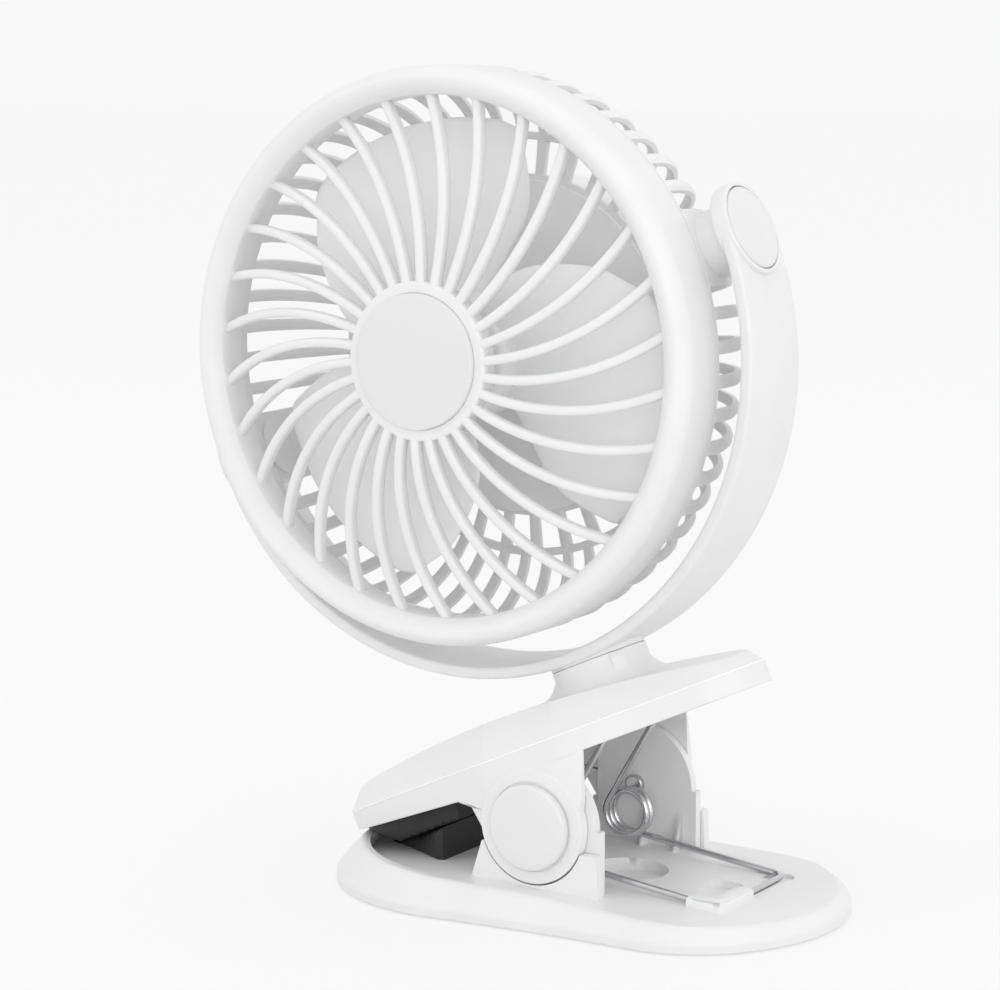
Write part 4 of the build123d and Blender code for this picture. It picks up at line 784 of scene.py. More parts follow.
@dataclass
class RearCage:
    """Rear cage: nest ring, bars that bend round to the back, divider, landing and tilt bosses."""

    ring_r: float = 77.2
    wall: float = 2.4
    turn_y: float = -5.0
    shoulder: float = 22.0
    back_y: float = 22.0
    outer_count: int = 54
    inner_count: int = 36
    divider: tuple[float, float] = (56.9, 59.1)
    landing: tuple[float, float] = (43.5, 47.6)
    outer_slot: tuple[float, float] = (4.2, 5.8)
    outer_slot_end: float = 80.2
    inner_slot: tuple[float, float] = (5.4, 6.6)
    inner_slot_start: float = 47.5
    bar_overlap: float = 0.7
    bar_starts: tuple[float, float] = (-10.6, -8.0)
    bend_deg: float = 83.0
    boss_deg: float = 8.0
    edge_drop: float = 0.55
    nest: tuple[tuple[float, float], ...] = (
        (74.7, -18.0), (74.7, -10.9), (77.2, -10.9), (77.2, -10.1), (72.9, -10.1), (72.9, -18.0))
    boss_root: float = 73.6
    boss_r: float = 9.0
    boss_face: float = 83.4
    stub_r: float = 5.0
    stub_face: float = 86.0

    def build(self) -> None:
        """Builds the cage as one moulding."""
        skin = Skin(HEAD)
        skin.turn(self.nest, 0.25, steps=180, corner_steps=2)
        inner_y = self.back_y - self.wall
        for low, high in (self.divider, self.landing):
            ring = [(low, inner_y), (high, inner_y), (high, self.back_y), (low, self.back_y)]
            skin.turn(ring, 0.5, steps=144, corner_steps=3)
        self._outer_bars(skin)
        self._inner_bars(skin)
        self._bosses(skin)
        skin.piece("cage_moulding", Looks.GRILLE, Body.HEAD, "rear_cage")

    def _bar(self, skin: Skin, angle_deg: float, path: np.ndarray, normal: np.ndarray,
             width: np.ndarray, columns: int) -> None:
        """A bar about the Y axis: radius and Y follow the path, the angle is lateral / radius.

        Args:
            skin: where it goes.
            angle_deg: angle of the bar's middle.
            path: radius and Y of its middle line, (rows, 2).
            normal: outward direction in radius and Y, (rows, 2).
            width: its width at each row.
            columns: points across its faces.
        """
        half = np.linspace(-1, 1, columns)
        flat = self.wall / 2
        lateral = np.concatenate([half, [1.0], half[::-1], [-1.0]])
        rise = flat - np.abs(half) ** 6 * self.edge_drop
        height = np.concatenate([rise, [0.0], -rise, [0.0]])
        radius = path[:, 0, None] + normal[:, 0, None] * height
        depth = path[:, 1, None] + normal[:, 1, None] * height
        angle = np.radians(angle_deg) + (width[:, None] / 2) * lateral / path[:, 0, None]
        grid = np.stack([radius * np.cos(angle), depth, radius * np.sin(angle)], -1)
        skin.add(closed_ends(grid), wrap_columns=True)

    def _slot(self, radius: np.ndarray, widths: tuple[float, float], start: float,
              end: float) -> np.ndarray:
        """Width of a slot: it grows evenly from one width at a start radius to one at an end."""
        return widths[0] + (widths[1] - widths[0]) * (radius - start) / (end - start)

    def _outer_bars(self, skin: Skin) -> None:
        """Bars along the side and round a quarter of an ellipse to the divider.

        Args:
            skin: where the grids go.
        """
        turn = np.radians(np.linspace(0.0, self.bend_deg, 18))
        inset = self.wall / 2
        across, deep = self.shoulder - inset, self.back_y - self.turn_y - inset
        bend = np.stack([self.ring_r - self.shoulder + across * np.cos(turn),
                         self.turn_y + deep * np.sin(turn)], 1)
        straight = [(self.ring_r - inset, place) for place in self.bar_starts]
        path = np.vstack([straight, bend])
        slope = unit_rows(np.gradient(path, axis=0))
        normal = np.stack([slope[:, 1], -slope[:, 0]], 1)
        pitch = 2 * np.pi / self.outer_count
        slot = self._slot(path[:, 0], self.outer_slot, self.divider[1], self.outer_slot_end)
        narrow = pitch * path[:, 0] - slot
        for index in range(self.outer_count):
            angle = 360.0 * index / self.outer_count
            off = abs((angle + 90) % 180 - 90)
            if off < 1:
                self._bar(skin, angle, path, normal, narrow + 2 * pitch * path[:, 0], 15)
            elif off > self.boss_deg:
                self._bar(skin, angle, path, normal, narrow, 5)

    def _inner_bars(self, skin: Skin) -> None:
        """Flat bars between the landing and the divider.

        Args:
            skin: where the grids go.
        """
        start, end = self.inner_slot_start, self.divider[0]
        radius = np.linspace(start - self.bar_overlap, end + self.bar_overlap, 4)
        path = np.stack([radius, np.full(4, self.back_y - self.wall / 2)], 1)
        normal = np.broadcast_to(np.array([0.0, 1.0]), path.shape)
        slot = self._slot(radius, self.inner_slot, start, end)
        width = 2 * np.pi * radius / self.inner_count - slot
        for index in range(self.inner_count):
            self._bar(skin, 360.0 * index / self.inner_count, path, normal, width, 5)

    def _bosses(self, skin: Skin) -> None:
        """Round bosses and stubs that the yoke's arms hold.

        Args:
            skin: where the grids go.
        """
        corners = [(0, self.boss_root), (self.boss_r, self.boss_root),
                   (self.boss_r, self.boss_face), (self.stub_r, self.boss_face),
                   (self.stub_r, self.stub_face), (0, self.stub_face)]
        for side in (-1, 1):
            skin.turn(corners, (0, 0.2, 0.7, 0.3, 0.3, 0), Axis.X, 64, side)


@dataclass
class Impeller:
    """Three petal blades on a cup-shaped hub."""

    hub_r: float = 17.0
    hub_front: float = -18.0
    hub_back: float = -1.0
    wall: float = 1.8
    floor: float = 2.2
    sleeve_r: float = 4.0
    blade_r: float = 63.4
    blade_front: float = -19.5
    blade_rear: float = -5.5
    lead_deg: float = 154.0
    trail_deg: float = 43.0
    thick: float = 1.6
    rows: int = 42
    columns: int = 27
    lead_edge: tuple[tuple[float, float], ...] = (
        (0.254, 154.0), (0.53, 142.5), (0.78, 127.0), (0.91, 117.5), (0.975, 113.2), (1.0, 106.0),
        (1.0, 94.0), (1.0, 83.0))
    trail_edge: tuple[tuple[float, float], ...] = (
        (0.254, 52.0), (0.45, 44.5), (0.70, 43.0), (0.95, 51.0), (0.99, 54.5), (1.0, 60.0),
        (1.0, 71.0), (1.0, 83.0))

    def build(self) -> None:
        """Builds hub and blades as one moulding."""
        skin = Skin(HEAD)
        floor, sleeve, inner = self.hub_front + self.floor, self.sleeve_r, self.hub_r - self.wall
        corners = [(0, self.hub_front), (self.hub_r, self.hub_front), (self.hub_r, self.hub_back),
                   (inner, self.hub_back), (inner, floor), (sleeve, floor), (sleeve, self.hub_back),
                   (0, self.hub_back)]
        skin.turn(corners, (0, 2.5, 0.3, 0.3, 0.6, 0.4, 0.3, 0))
        for index in range(3):
            self._blade(skin, math.radians(120.0 * index))
        skin.piece("fan_impeller", Looks.BLADE, Body.ROTOR, "impeller")

    def _edge(self, points: tuple[tuple[float, float], ...], steps: int) -> np.ndarray:
        """An edge of the petal in X and Z, smooth through points of radius share and angle.

        Args:
            points: radius shares and angles in degrees.
            steps: how many points to make.

        Returns:
            Array (steps, 2).
        """
        share, angle = np.array(points).T
        flat = np.stack([share * np.cos(np.radians(angle)), share * np.sin(np.radians(angle))], 1)
        return smooth_curve(flat * self.blade_r, steps)

    def _blade(self, skin: Skin, turn: float) -> None:
        """A petal between its two edges on a screw surface: Y falls evenly with the angle.

        Half the thickness is 0.8 sqrt(1 - e^10) across, where e runs from -1 to 1, and it closes
        at the root inside the hub and at the tip.

        Args:
            skin: where the grids go.
            turn: angle of the blade about the axis, in radians.
        """
        lead, trail = (self._edge(edge, self.rows) for edge in (self.lead_edge, self.trail_edge))
        across = np.sin(np.linspace(-np.pi / 2, np.pi / 2, self.columns))
        share = (across + 1)[None, :, None] / 2
        flat = lead[:, None] * (1 - share) + trail[:, None] * share
        angle = np.degrees(np.arctan2(flat[..., 1], flat[..., 0])) % 360
        pitch = (self.blade_rear - self.blade_front) / (self.lead_deg - self.trail_deg)
        middle = self.blade_front + pitch * (self.lead_deg - angle)
        along = np.linspace(0, 1, self.rows)[:, None]
        half = self.thick / 2 * np.sqrt(1 - np.abs(across) ** 10) * np.sqrt(1 - along ** 24)
        half[0] = 0.0
        spin = np.array([[math.cos(turn), -math.sin(turn)], [math.sin(turn), math.cos(turn)]])
        flat = flat @ spin.T
        front = np.stack([flat[..., 0], middle - half, flat[..., 1]], -1)
        back = np.stack([flat[..., 0], middle + half, flat[..., 1]], -1)
        skin.add(np.concatenate([front, back[:, ::-1]], axis=1), wrap_columns=True)


@dataclass
class Yoke:
    """The bow with its round arm ends, its foot, stem and the covers of the tilt pivots."""

    radius: float = 88.2
    thick: float = 3.4
    soft: float = 1.2
    straight: tuple[float, ...] = (7.0, 4.0, 2.0)
    half: float = 13.9
    end_r: float = 12.7
    end_face: float = 88.8
    end_thick: float = 4.8
    button_r: float = 11.2
    button_proud: float = 0.4
    button_hollow: float = 0.9
    button_wall: float = 1.2
    recess: float = 2.2
    recess_gap: float = 0.3
    neck_r: float = 13.3
    foot_z: float = -88.62
    foot_top: float = -86.4
    stem_r: float = 7.4
    stem_low: float = -99.3
    stem_top: float = -87.6
    stem_bore: float = 2.05
    pivot_bore: float = 5.05
    waist: float = -0.45

    def build(self) -> None:
        """Builds the yoke and its two covers."""
        skin = Skin(HEAD)
        self._bow(skin)
        for side in (-1, 1):
            self._arm_end(skin, side)
        foot = [(0, self.foot_z), (self.neck_r, self.foot_z), (self.neck_r, self.foot_top),
                (0, self.foot_top)]
        skin.turn(foot, (0, 0.12, 0.1, 0), Axis.Z)
        stem = [(self.stem_bore, self.stem_low), (self.stem_r, self.stem_low),
                (self.stem_r, self.stem_top), (self.stem_bore, self.stem_top)]
        skin.turn(stem, 0.3, Axis.Z, 48)
        skin.piece("yoke_bow", Looks.HOUSING, Body.YOKE, "yoke_arm")
        for side, node in ((1, "yoke_button_right"), (-1, "yoke_button_left")):
            self._button(side, node)

    def _bow(self, skin: Skin) -> None:
        """A rounded flat section carried round the half circle and up the straight ends.

        Args:
            skin: where the grids go.
        """
        middle = self.radius - self.thick / 2
        angle = np.radians(np.linspace(180.0, 360.0, 91))
        arc = np.stack([middle * np.cos(angle), middle * np.sin(angle)], 1)
        left = [(-middle, rise) for rise in self.straight]
        right = [(middle, rise) for rise in self.straight[::-1]]
        flat = np.vstack([left, arc, right])
        slope = unit_rows(np.gradient(flat, axis=0))
        path = np.stack([flat[:, 0], np.zeros(len(flat)), flat[:, 1]], 1)
        up = np.stack([slope[:, 1], np.zeros(len(flat)), -slope[:, 0]], 1)
        height = flat[:, 1]
        waist = self.waist * self.radius
        taper = np.clip((height - waist) / -waist, 0, 1)
        half = self.half + (self.end_r - self.half) * taper
        half = np.where(height > 0, np.sqrt(np.maximum(self.end_r ** 2 - height ** 2, 1.0)), half)
        section = box_section(2 * half, np.full(len(half), self.thick), self.soft)
        skin.add(swept(path, section, ACROSS, up), wrap_columns=True)

    def _arm_end(self, skin: Skin, side: int) -> None:
        """Round end with the recess that takes its cover.

        Args:
            skin: where the grids go.
            side: 1 or -1, for the side along X.
        """
        inner, floor = self.end_face - self.end_thick, self.end_face - self.recess
        pocket = self.button_r + self.recess_gap
        corners = [(self.pivot_bore, inner), (self.end_r, inner), (self.end_r, self.end_face),
                   (pocket, self.end_face), (pocket, floor), (self.pivot_bore, floor)]
        skin.turn(corners, (0.3, 0.9, 0.9, 0.35, 0.2, 0.2), Axis.X, side=side)

    def _button(self, side: int, node: str) -> None:
        """A shallow round cover, crowned by a tenth of a millimetre.

        Args:
            side: 1 or -1, for the side along X.
            node: the CAD node it stands for.
        """
        face, skirt = self.end_face + self.button_proud, self.end_face - self.recess
        back = skirt + self.button_hollow
        inner = self.button_r - self.button_wall
        corners = [(0, face), (self.button_r * 0.6, face - 0.03), (self.button_r, face - 0.12),
                   (self.button_r, skirt), (inner, skirt), (inner, back), (0, back)]
        Skin(HEAD).turn(corners, (0, 0, 0.9, 0.2, 0.2, 0.2, 0), Axis.X, side=side).piece(
            f"tilt_cover_{'right' if side > 0 else 'left'}", Looks.CAP, Body.YOKE, node)


# -------------------------------------------------------------------- the clip
@dataclass
class HingeCovers:
    """Round covers of the hinge with the pins behind them."""

    pivot_z: float = HINGE_Z
    face: float = 31.3
    radius: float = 11.5
    thick: float = 2.8
    pin_r: float = 4.0
    pin_end: float = 27.8

    def build(self) -> None:
        """Builds the near and the far cover."""
        for side, node in ((-1, "hinge_cap_near"), (1, "hinge_cap_far")):
            outer = self.face + self.thick
            corners = [(0, outer), (self.radius * 0.7, outer - 0.05), (self.radius, outer - 0.15),
                       (self.radius, self.face), (self.pin_r, self.face),
                       (self.pin_r, self.pin_end), (0, self.pin_end)]
            skin = Skin(GROUND).turn(corners, (0, 0, 1.0, 0.2, 0.2, 0.3, 0), side=side,
                                     place=(0, 0, self.pivot_z))
            skin.piece(f"hinge_cover_{'near' if side < 0 else 'far'}", Looks.CAP, Body.BASE, node)


@dataclass
class UpperJaw:
    """The upper jaw: a hollow shell about the swivel's bore, two cheeks, pad floor, rib and key."""

    circles: tuple[tuple[float, float, float], ...] = (
        (49.0, 4.0, 13.0), (14.0, 19.1, 12.0), (-8.0, 19.1, 12.0), (-47.2, 0.0, 24.0),
        (-8.0, -19.1, 12.0), (14.0, -19.1, 12.0), (49.0, -4.0, 13.0))
    crown: tuple[tuple[float, float], ...] = ((-70.5, 24.2), (0.0, 29.6), (63.0, 22.9))
    crown_round: float = 5.0
    crease_w: float = 20.0
    crease_round: float = 1.0
    neck_round: float = 0.4
    foot_rounds: tuple[float, float] = (0.5, 0.3)
    least_rise: float = 0.2
    bead_r: float = 0.36
    bead_sink: float = 0.16
    shoulder_deg: float = 40.0
    wall: float = 2.4
    lower_edge: tuple[tuple[float, float], ...] = ((-75.0, 15.1), (-21.0, 12.5), (21.8, 14.2),
                                                   (75.0, 14.2))
    neck_u: float = 18.6
    neck_r: float = 13.3
    neck_top: float = 35.9
    neck_bottom: float = 25.6
    flare: float = 4.4
    bore_r: float = 9.0
    cheek_top: float = 17.5
    cheek_front: tuple[tuple[float, float], ...] = ((-17.2, 11.0), (-15.36, 1.0))
    cheek_rear: tuple[tuple[float, float], ...] = ((15.36, -0.8), (16.8, 1.6))
    cheek_arc_deg: tuple[float, float] = (178.0, 355.0)
    cheek_r: float = 15.4
    cheek_inner: float = 28.1
    cheek_sink: float = 0.02
    cheek_round: float = 0.5
    ring_inner_r: float = 12.1
    ring_proud: float = 0.3
    ring_root: float = 2.0
    hinge_r: float = 4.05
    pad_floor: tuple[float, float] = (15.0, 17.4)
    pad_floor_end: float = -25.0
    pad_floor_inset: tuple[float, float] = (1.3, 1.2)
    rib_u: tuple[float, float] = (30.2, 32.2)
    rib_half: float = 17.0
    rib_drop: float = 1.0
    key_deg: float = -37.0
    key_size: tuple[float, float] = (4.8, 6.4)
    key_proud: float = 0.9
    key_sink: float = 0.2
    key_root: float = 0.3
    key_drop: float = 0.1
    columns: int = 420

    def build(self) -> None:
        """Builds the jaw as one moulding."""
        outline, normal = self._outline()
        skin = Skin(JAW)
        self._shell(skin, outline, normal)
        for side in (-1, 1):
            self._cheek(skin, outline, side)
        self._inside(skin, outline)
        self._key(skin)
        skin.piece("jaw_moulding", Looks.HOUSING, Body.JAW, "upper_jaw", sharp_deg=33.0)
        self._crease_line(outline, normal)

    def _outline(self) -> tuple[np.ndarray, np.ndarray]:
        """Plan of the walls: the hull of the circles, spaced evenly.

        In the direction n the hull's point is centre + r n of the circle whose centre . n + r is
        the largest.

        Returns:
            Points and outward directions, each (columns, 2).
        """
        angle = np.linspace(0, 2 * np.pi, 1441)
        normal = np.stack([np.cos(angle), np.sin(angle)], 1)
        circles = np.array(self.circles)
        chosen = circles[np.argmax(normal @ circles[:, :2].T + circles[:, 2], axis=1)]
        points = chosen[:, :2] + chosen[:, 2:] * normal
        even = evenly(points, self.columns, normal)
        return even[:, :2], unit_rows(even[:, 2:])

    def _half_width(self, outline: np.ndarray, u: np.ndarray) -> np.ndarray:
        """Half the width of the walls' plan at places along the jaw.

        Args:
            outline: plan of the walls, (columns, 2).
            u: places along the jaw.

        Returns:
            The half width at each place.
        """
        beside = outline[outline[:, 1] > 0]
        order = np.argsort(beside[:, 0])
        return np.interp(u, beside[order, 0], beside[order, 1])

    def _crown_height(self, u: np.ndarray) -> np.ndarray:
        """Height of the crown: the circle through its three given points.

        Args:
            u: places along the jaw.

        Returns:
            The height at each place.
        """
        (x0, y0), (x1, y1), (x2, y2) = self.crown
        system = np.array([[2 * (x1 - x0), 2 * (y1 - y0)], [2 * (x2 - x0), 2 * (y2 - y0)]])
        right = np.array([x1 ** 2 - x0 ** 2 + y1 ** 2 - y0 ** 2,
                          x2 ** 2 - x0 ** 2 + y2 ** 2 - y0 ** 2])
        centre_u, centre_w = np.linalg.solve(system, right)
        radius = math.hypot(x0 - centre_u, y0 - centre_w)
        return centre_w + np.sqrt(radius ** 2 - (u - centre_u) ** 2)

    def _rim(self, outline: np.ndarray, normal: np.ndarray, inset: float) -> np.ndarray:
        """Where the sloping shoulder meets the crown, for the outer or the inner surface.

        The inset d beyond the wall solves d = (crown(u - d n) - crease) tan(slope).

        Args:
            outline: plan of the walls, (columns, 2).
            normal: its outward directions, (columns, 2).
            inset: how far the surface lies inside the outer one.

        Returns:
            Points (columns, 3).
        """
        slope = math.tan(math.radians(self.shoulder_deg))
        start = outline - inset * normal
        reach = np.zeros(len(outline))
        for _ in range(12):
            u = start[:, 0] - reach * normal[:, 0]
            rise = self._crown_height(u) - inset - self.crease_w
            reach = np.maximum(rise, self.least_rise) * slope
        flat = start - reach[:, None] * normal
        return np.column_stack([flat, self.crease_w + reach / slope])

    def _corner(self, before: np.ndarray, at: np.ndarray, after: np.ndarray, radius: float,
                steps: int = 5) -> np.ndarray:
        """One rounded corner in every column, as (columns, steps + 1, 3).

        Args:
            before: the corner before it in every column, (columns, 3).
            at: the corner.
            after: the corner after it.
            radius: its rounding.
            steps: its parts.

        Returns:
            Rows of the rounded corner.
        """
        corners = np.stack([before, at, after], axis=1)
        curve = rounded(corners, np.array([0.0, radius, 0.0]), closed=False, steps=steps)
        return curve[:, steps + 1:2 * (steps + 1)]

    def _crown_run(self, near: np.ndarray, far: np.ndarray, drop: float) -> np.ndarray:
        """Rows from the neck to a rim that follow the crown.

        Args:
            near: points at the neck, (columns, 3).
            far: points of the rim.
            drop: how far below the crown.

        Returns:
            Rows (columns, 14, 3).
        """
        share = np.linspace(0.0, 0.96, 14)[None, :, None]
        run = near[:, None] + (far - near)[:, None] * share
        run[..., 2] = self._crown_height(run[..., 0]) - drop
        return run

    def _shell(self, skin: Skin, outline: np.ndarray, normal: np.ndarray) -> None:
        """A loop of rows per column: bore, neck, fillet, crown, shoulder, wall and back inside.

        Args:
            skin: where the grids go.
            outline: plan of the walls, (columns, 2).
            normal: its outward directions, (columns, 2).
        """
        outer, inner = self._rim(outline, normal, 0.0), self._rim(outline, normal, self.wall)
        angle = np.arctan2(outer[:, 1], outer[:, 0] - self.neck_u)

        def ring(radius: float, lift: float | None = None, height: float = 0.0) -> np.ndarray:
            """Points about the neck at a height, or lifted over the crown.

            Args:
                radius: distance from the neck's axis.
                lift: height over the crown, or None.
                height: height where there is no lift.

            Returns:
                Points (columns, 3).
            """
            u, v = self.neck_u + radius * np.cos(angle), radius * np.sin(angle)
            w = np.full(len(u), height) if lift is None else self._crown_height(u) + lift
            return np.column_stack([u, v, w])

        def wall_point(inset: float, height: np.ndarray | float) -> np.ndarray:
            """Points of the upright wall."""
            flat = outline - inset * normal
            return np.column_stack([flat, np.broadcast_to(height, len(flat))])

        flare = np.stack([ring(self.neck_r + self.flare * out, self.flare * up)
                          for out, up in self._flare_rows()], 1)
        top = self._corner(ring(self.bore_r, height=self.neck_top),
                           ring(self.neck_r, height=self.neck_top), flare[:, 0],
                           self.neck_round)
        over = self._crown_run(flare[:, -1], outer, 0.0)
        low = np.interp(outline[:, 0], *np.array(self.lower_edge).T)
        crease, foot = wall_point(0.0, self.crease_w), wall_point(0.0, low)
        inner_foot, inner_crease = wall_point(self.wall, low), wall_point(self.wall, self.crease_w)
        boss = ring(self.neck_r, lift=-self.wall)
        under = self._crown_run(boss, inner, self.wall)[:, ::-1]
        boss_end = boss.copy()
        boss_end[:, 2] = np.minimum(boss[:, 2], self.neck_bottom)
        bore = np.stack([ring(self.bore_r, height=self.neck_bottom),
                         ring(self.bore_r, height=self.neck_top)], 1)
        rows = [bore, top, flare, over,
                self._corner(over[:, -1], outer, (outer + crease) / 2, self.crown_round, 8),
                self._corner((outer + crease) / 2, crease, (crease + foot) / 2, self.crease_round),
                self._corner((crease + foot) / 2, foot, inner_foot, self.foot_rounds[0]),
                self._corner(foot, inner_foot, inner_crease, self.foot_rounds[1]),
                inner_crease[:, None], inner[:, None], under, boss_end[:, None]]
        skin.add(np.concatenate(rows, axis=1), wrap_rows=True, wrap_columns=True)

    def _crease_line(self, outline: np.ndarray, normal: np.ndarray) -> None:
        """The fine bead that runs round the jaw on its crease, lighter than the housing as a painted
        highlight.

        Args:
            outline: plan of the walls, (columns, 2).
            normal: its outward directions, (columns, 2).
        """
        turn = np.linspace(0, 2 * np.pi, 8, endpoint=False)
        out = self.bead_r * np.cos(turn) - self.bead_sink
        flat = outline[:, None] + out[None, :, None] * normal[:, None]
        up = np.broadcast_to(self.crease_w + self.bead_r * np.sin(turn), flat.shape[:2])
        Skin(JAW).add(np.concatenate([flat, up[..., None]], -1), True, True).piece(
            "jaw_crease_line", Looks.EDGE, Body.JAW, sharp_deg=80.0)

    def _flare_rows(self) -> np.ndarray:
        """The flare's section: half a straight slope and half a hollow round.

        Returns:
            Shares of the flare outwards and upwards, (rows, 2).
        """
        turn = np.linspace(np.pi / 2, 0, 12)
        slope = np.linspace(1, 0, 12)
        out = 0.5 * (1 - np.sin(turn)) + 0.5 * (1 - slope)
        up = 0.5 * (1 - np.cos(turn)) + 0.5 * slope
        return np.stack([out, up], 1)

    def _cheek(self, skin: Skin, outline: np.ndarray, side: int) -> None:
        """A cheek beside the hinge: a plate between the pin's hole and its outline.

        Its outer face follows the wall's plan and lies a little under it. A low ring stands on it
        about the hinge's cover.

        Args:
            skin: where the grids go.
            outline: plan of the walls, (columns, 2).
            side: 1 or -1, for the side along Y.
        """
        arc = np.radians(np.linspace(*self.cheek_arc_deg, 44))
        (_, _), (front_u, front_w), (rear_u, rear_w), (_, _) = self.lower_edge
        corners = np.vstack([
            [(rear_u, self.cheek_top), (front_u, self.cheek_top), (front_u, front_w)],
            self.cheek_front, np.stack([np.cos(arc), np.sin(arc)], 1) * self.cheek_r,
            self.cheek_rear, [(rear_u, rear_w)]])
        edge = evenly(np.vstack([corners, corners[:1]]), 260)
        hole = unit_rows(edge) * self.hinge_r
        share = 1 - self.cheek_round / np.linalg.norm(edge, axis=1)

        def row(flat: np.ndarray, inwards: float) -> np.ndarray:
            """Points of the outer face, moved inwards by a length."""
            v = self._half_width(outline, flat[:, 0]) - self.cheek_sink - inwards
            return np.column_stack([flat[:, 0], side * v, flat[:, 1]])

        faces = [row(hole + (edge * share[:, None] - hole) * step, 0.0)
                 for step in (0, 0.35, 0.7, 1)]
        bend = np.linspace(0, np.pi / 2, 4)[1:]
        faces += [row(edge * (share + (1 - share) * math.sin(turn))[:, None],
                      self.cheek_round * (1 - math.cos(turn))) for turn in bend]
        inner = np.full(len(edge), side * self.cheek_inner)
        back = [np.column_stack([flat[:, 0], inner, flat[:, 1]]) for flat in (edge, hole)]
        skin.add(np.stack(faces + back, 1), wrap_rows=True, wrap_columns=True)
        low = self.cheek_inner + self.ring_root
        high = outline[:, 1].max() + self.ring_proud
        ring = [(self.ring_inner_r, low), (self.ring_inner_r, high), (self.cheek_r, high),
                (self.cheek_r, low)]
        skin.turn(ring, (0.1, 0.15, 0.3, 0.1), steps=120, side=side)

    def _inside(self, skin: Skin, outline: np.ndarray) -> None:
        """The floor that carries the rubber and the rib that takes the spring's upper ends.

        Args:
            skin: where the grids go.
            outline: plan of the walls, (columns, 2).
        """
        nose_inset, side_inset = self.pad_floor_inset
        u = np.linspace(outline[:, 0].min() + nose_inset, self.pad_floor_end, 60)
        half = self._half_width(outline, u) - side_inset
        low, high = self.pad_floor
        path = np.column_stack([u, np.zeros(len(u)), np.full(len(u), (low + high) / 2)])
        section = box_section(2 * half, np.full(len(u), high - low), 0.2)
        skin.add(swept(path, section, ACROSS, UPWARDS), wrap_columns=True)
        roof = self._crown_height(np.array(self.rib_u))
        foot = self.crease_w - self.rib_drop
        middle = (foot + roof.mean() - self.wall / 2) / 2
        path = np.array([(sum(self.rib_u) / 2, end, middle)
                         for end in (-self.rib_half, self.rib_half)])
        section = box_section(self.rib_u[1] - self.rib_u[0], 2 * (middle - foot), 0.3)
        skin.add(swept(path, section, ALONG, UPWARDS), wrap_columns=True)

    def _key(self, skin: Skin) -> None:
        """A soft key on the neck: radius n + p sqrt(1 - a^4) sqrt(1 - b^4), a across and b up.

        Args:
            skin: where the grids go.
        """
        spread = np.sin(np.linspace(-np.pi / 2, np.pi / 2, 15))
        across, up = np.meshgrid(spread, spread)
        width, height = self.key_size
        angle = math.radians(self.key_deg) + across * width / 2 / self.neck_r
        w = self.neck_top - self.key_drop + (up - 1) * height / 2
        puff = np.sqrt(1 - across ** 4) * np.sqrt(1 - up ** 4)

        def face(radius: np.ndarray) -> np.ndarray:
            """Points about the neck's axis."""
            return np.stack([self.neck_u + radius * np.cos(angle), radius * np.sin(angle), w], -1)

        edge = self.neck_r - self.key_sink
        front = face(edge + (self.key_proud + self.key_sink) * puff)
        back = face(edge - self.key_root * puff)
        skin.add(np.concatenate([front, back[:, ::-1]], axis=1), wrap_columns=True)


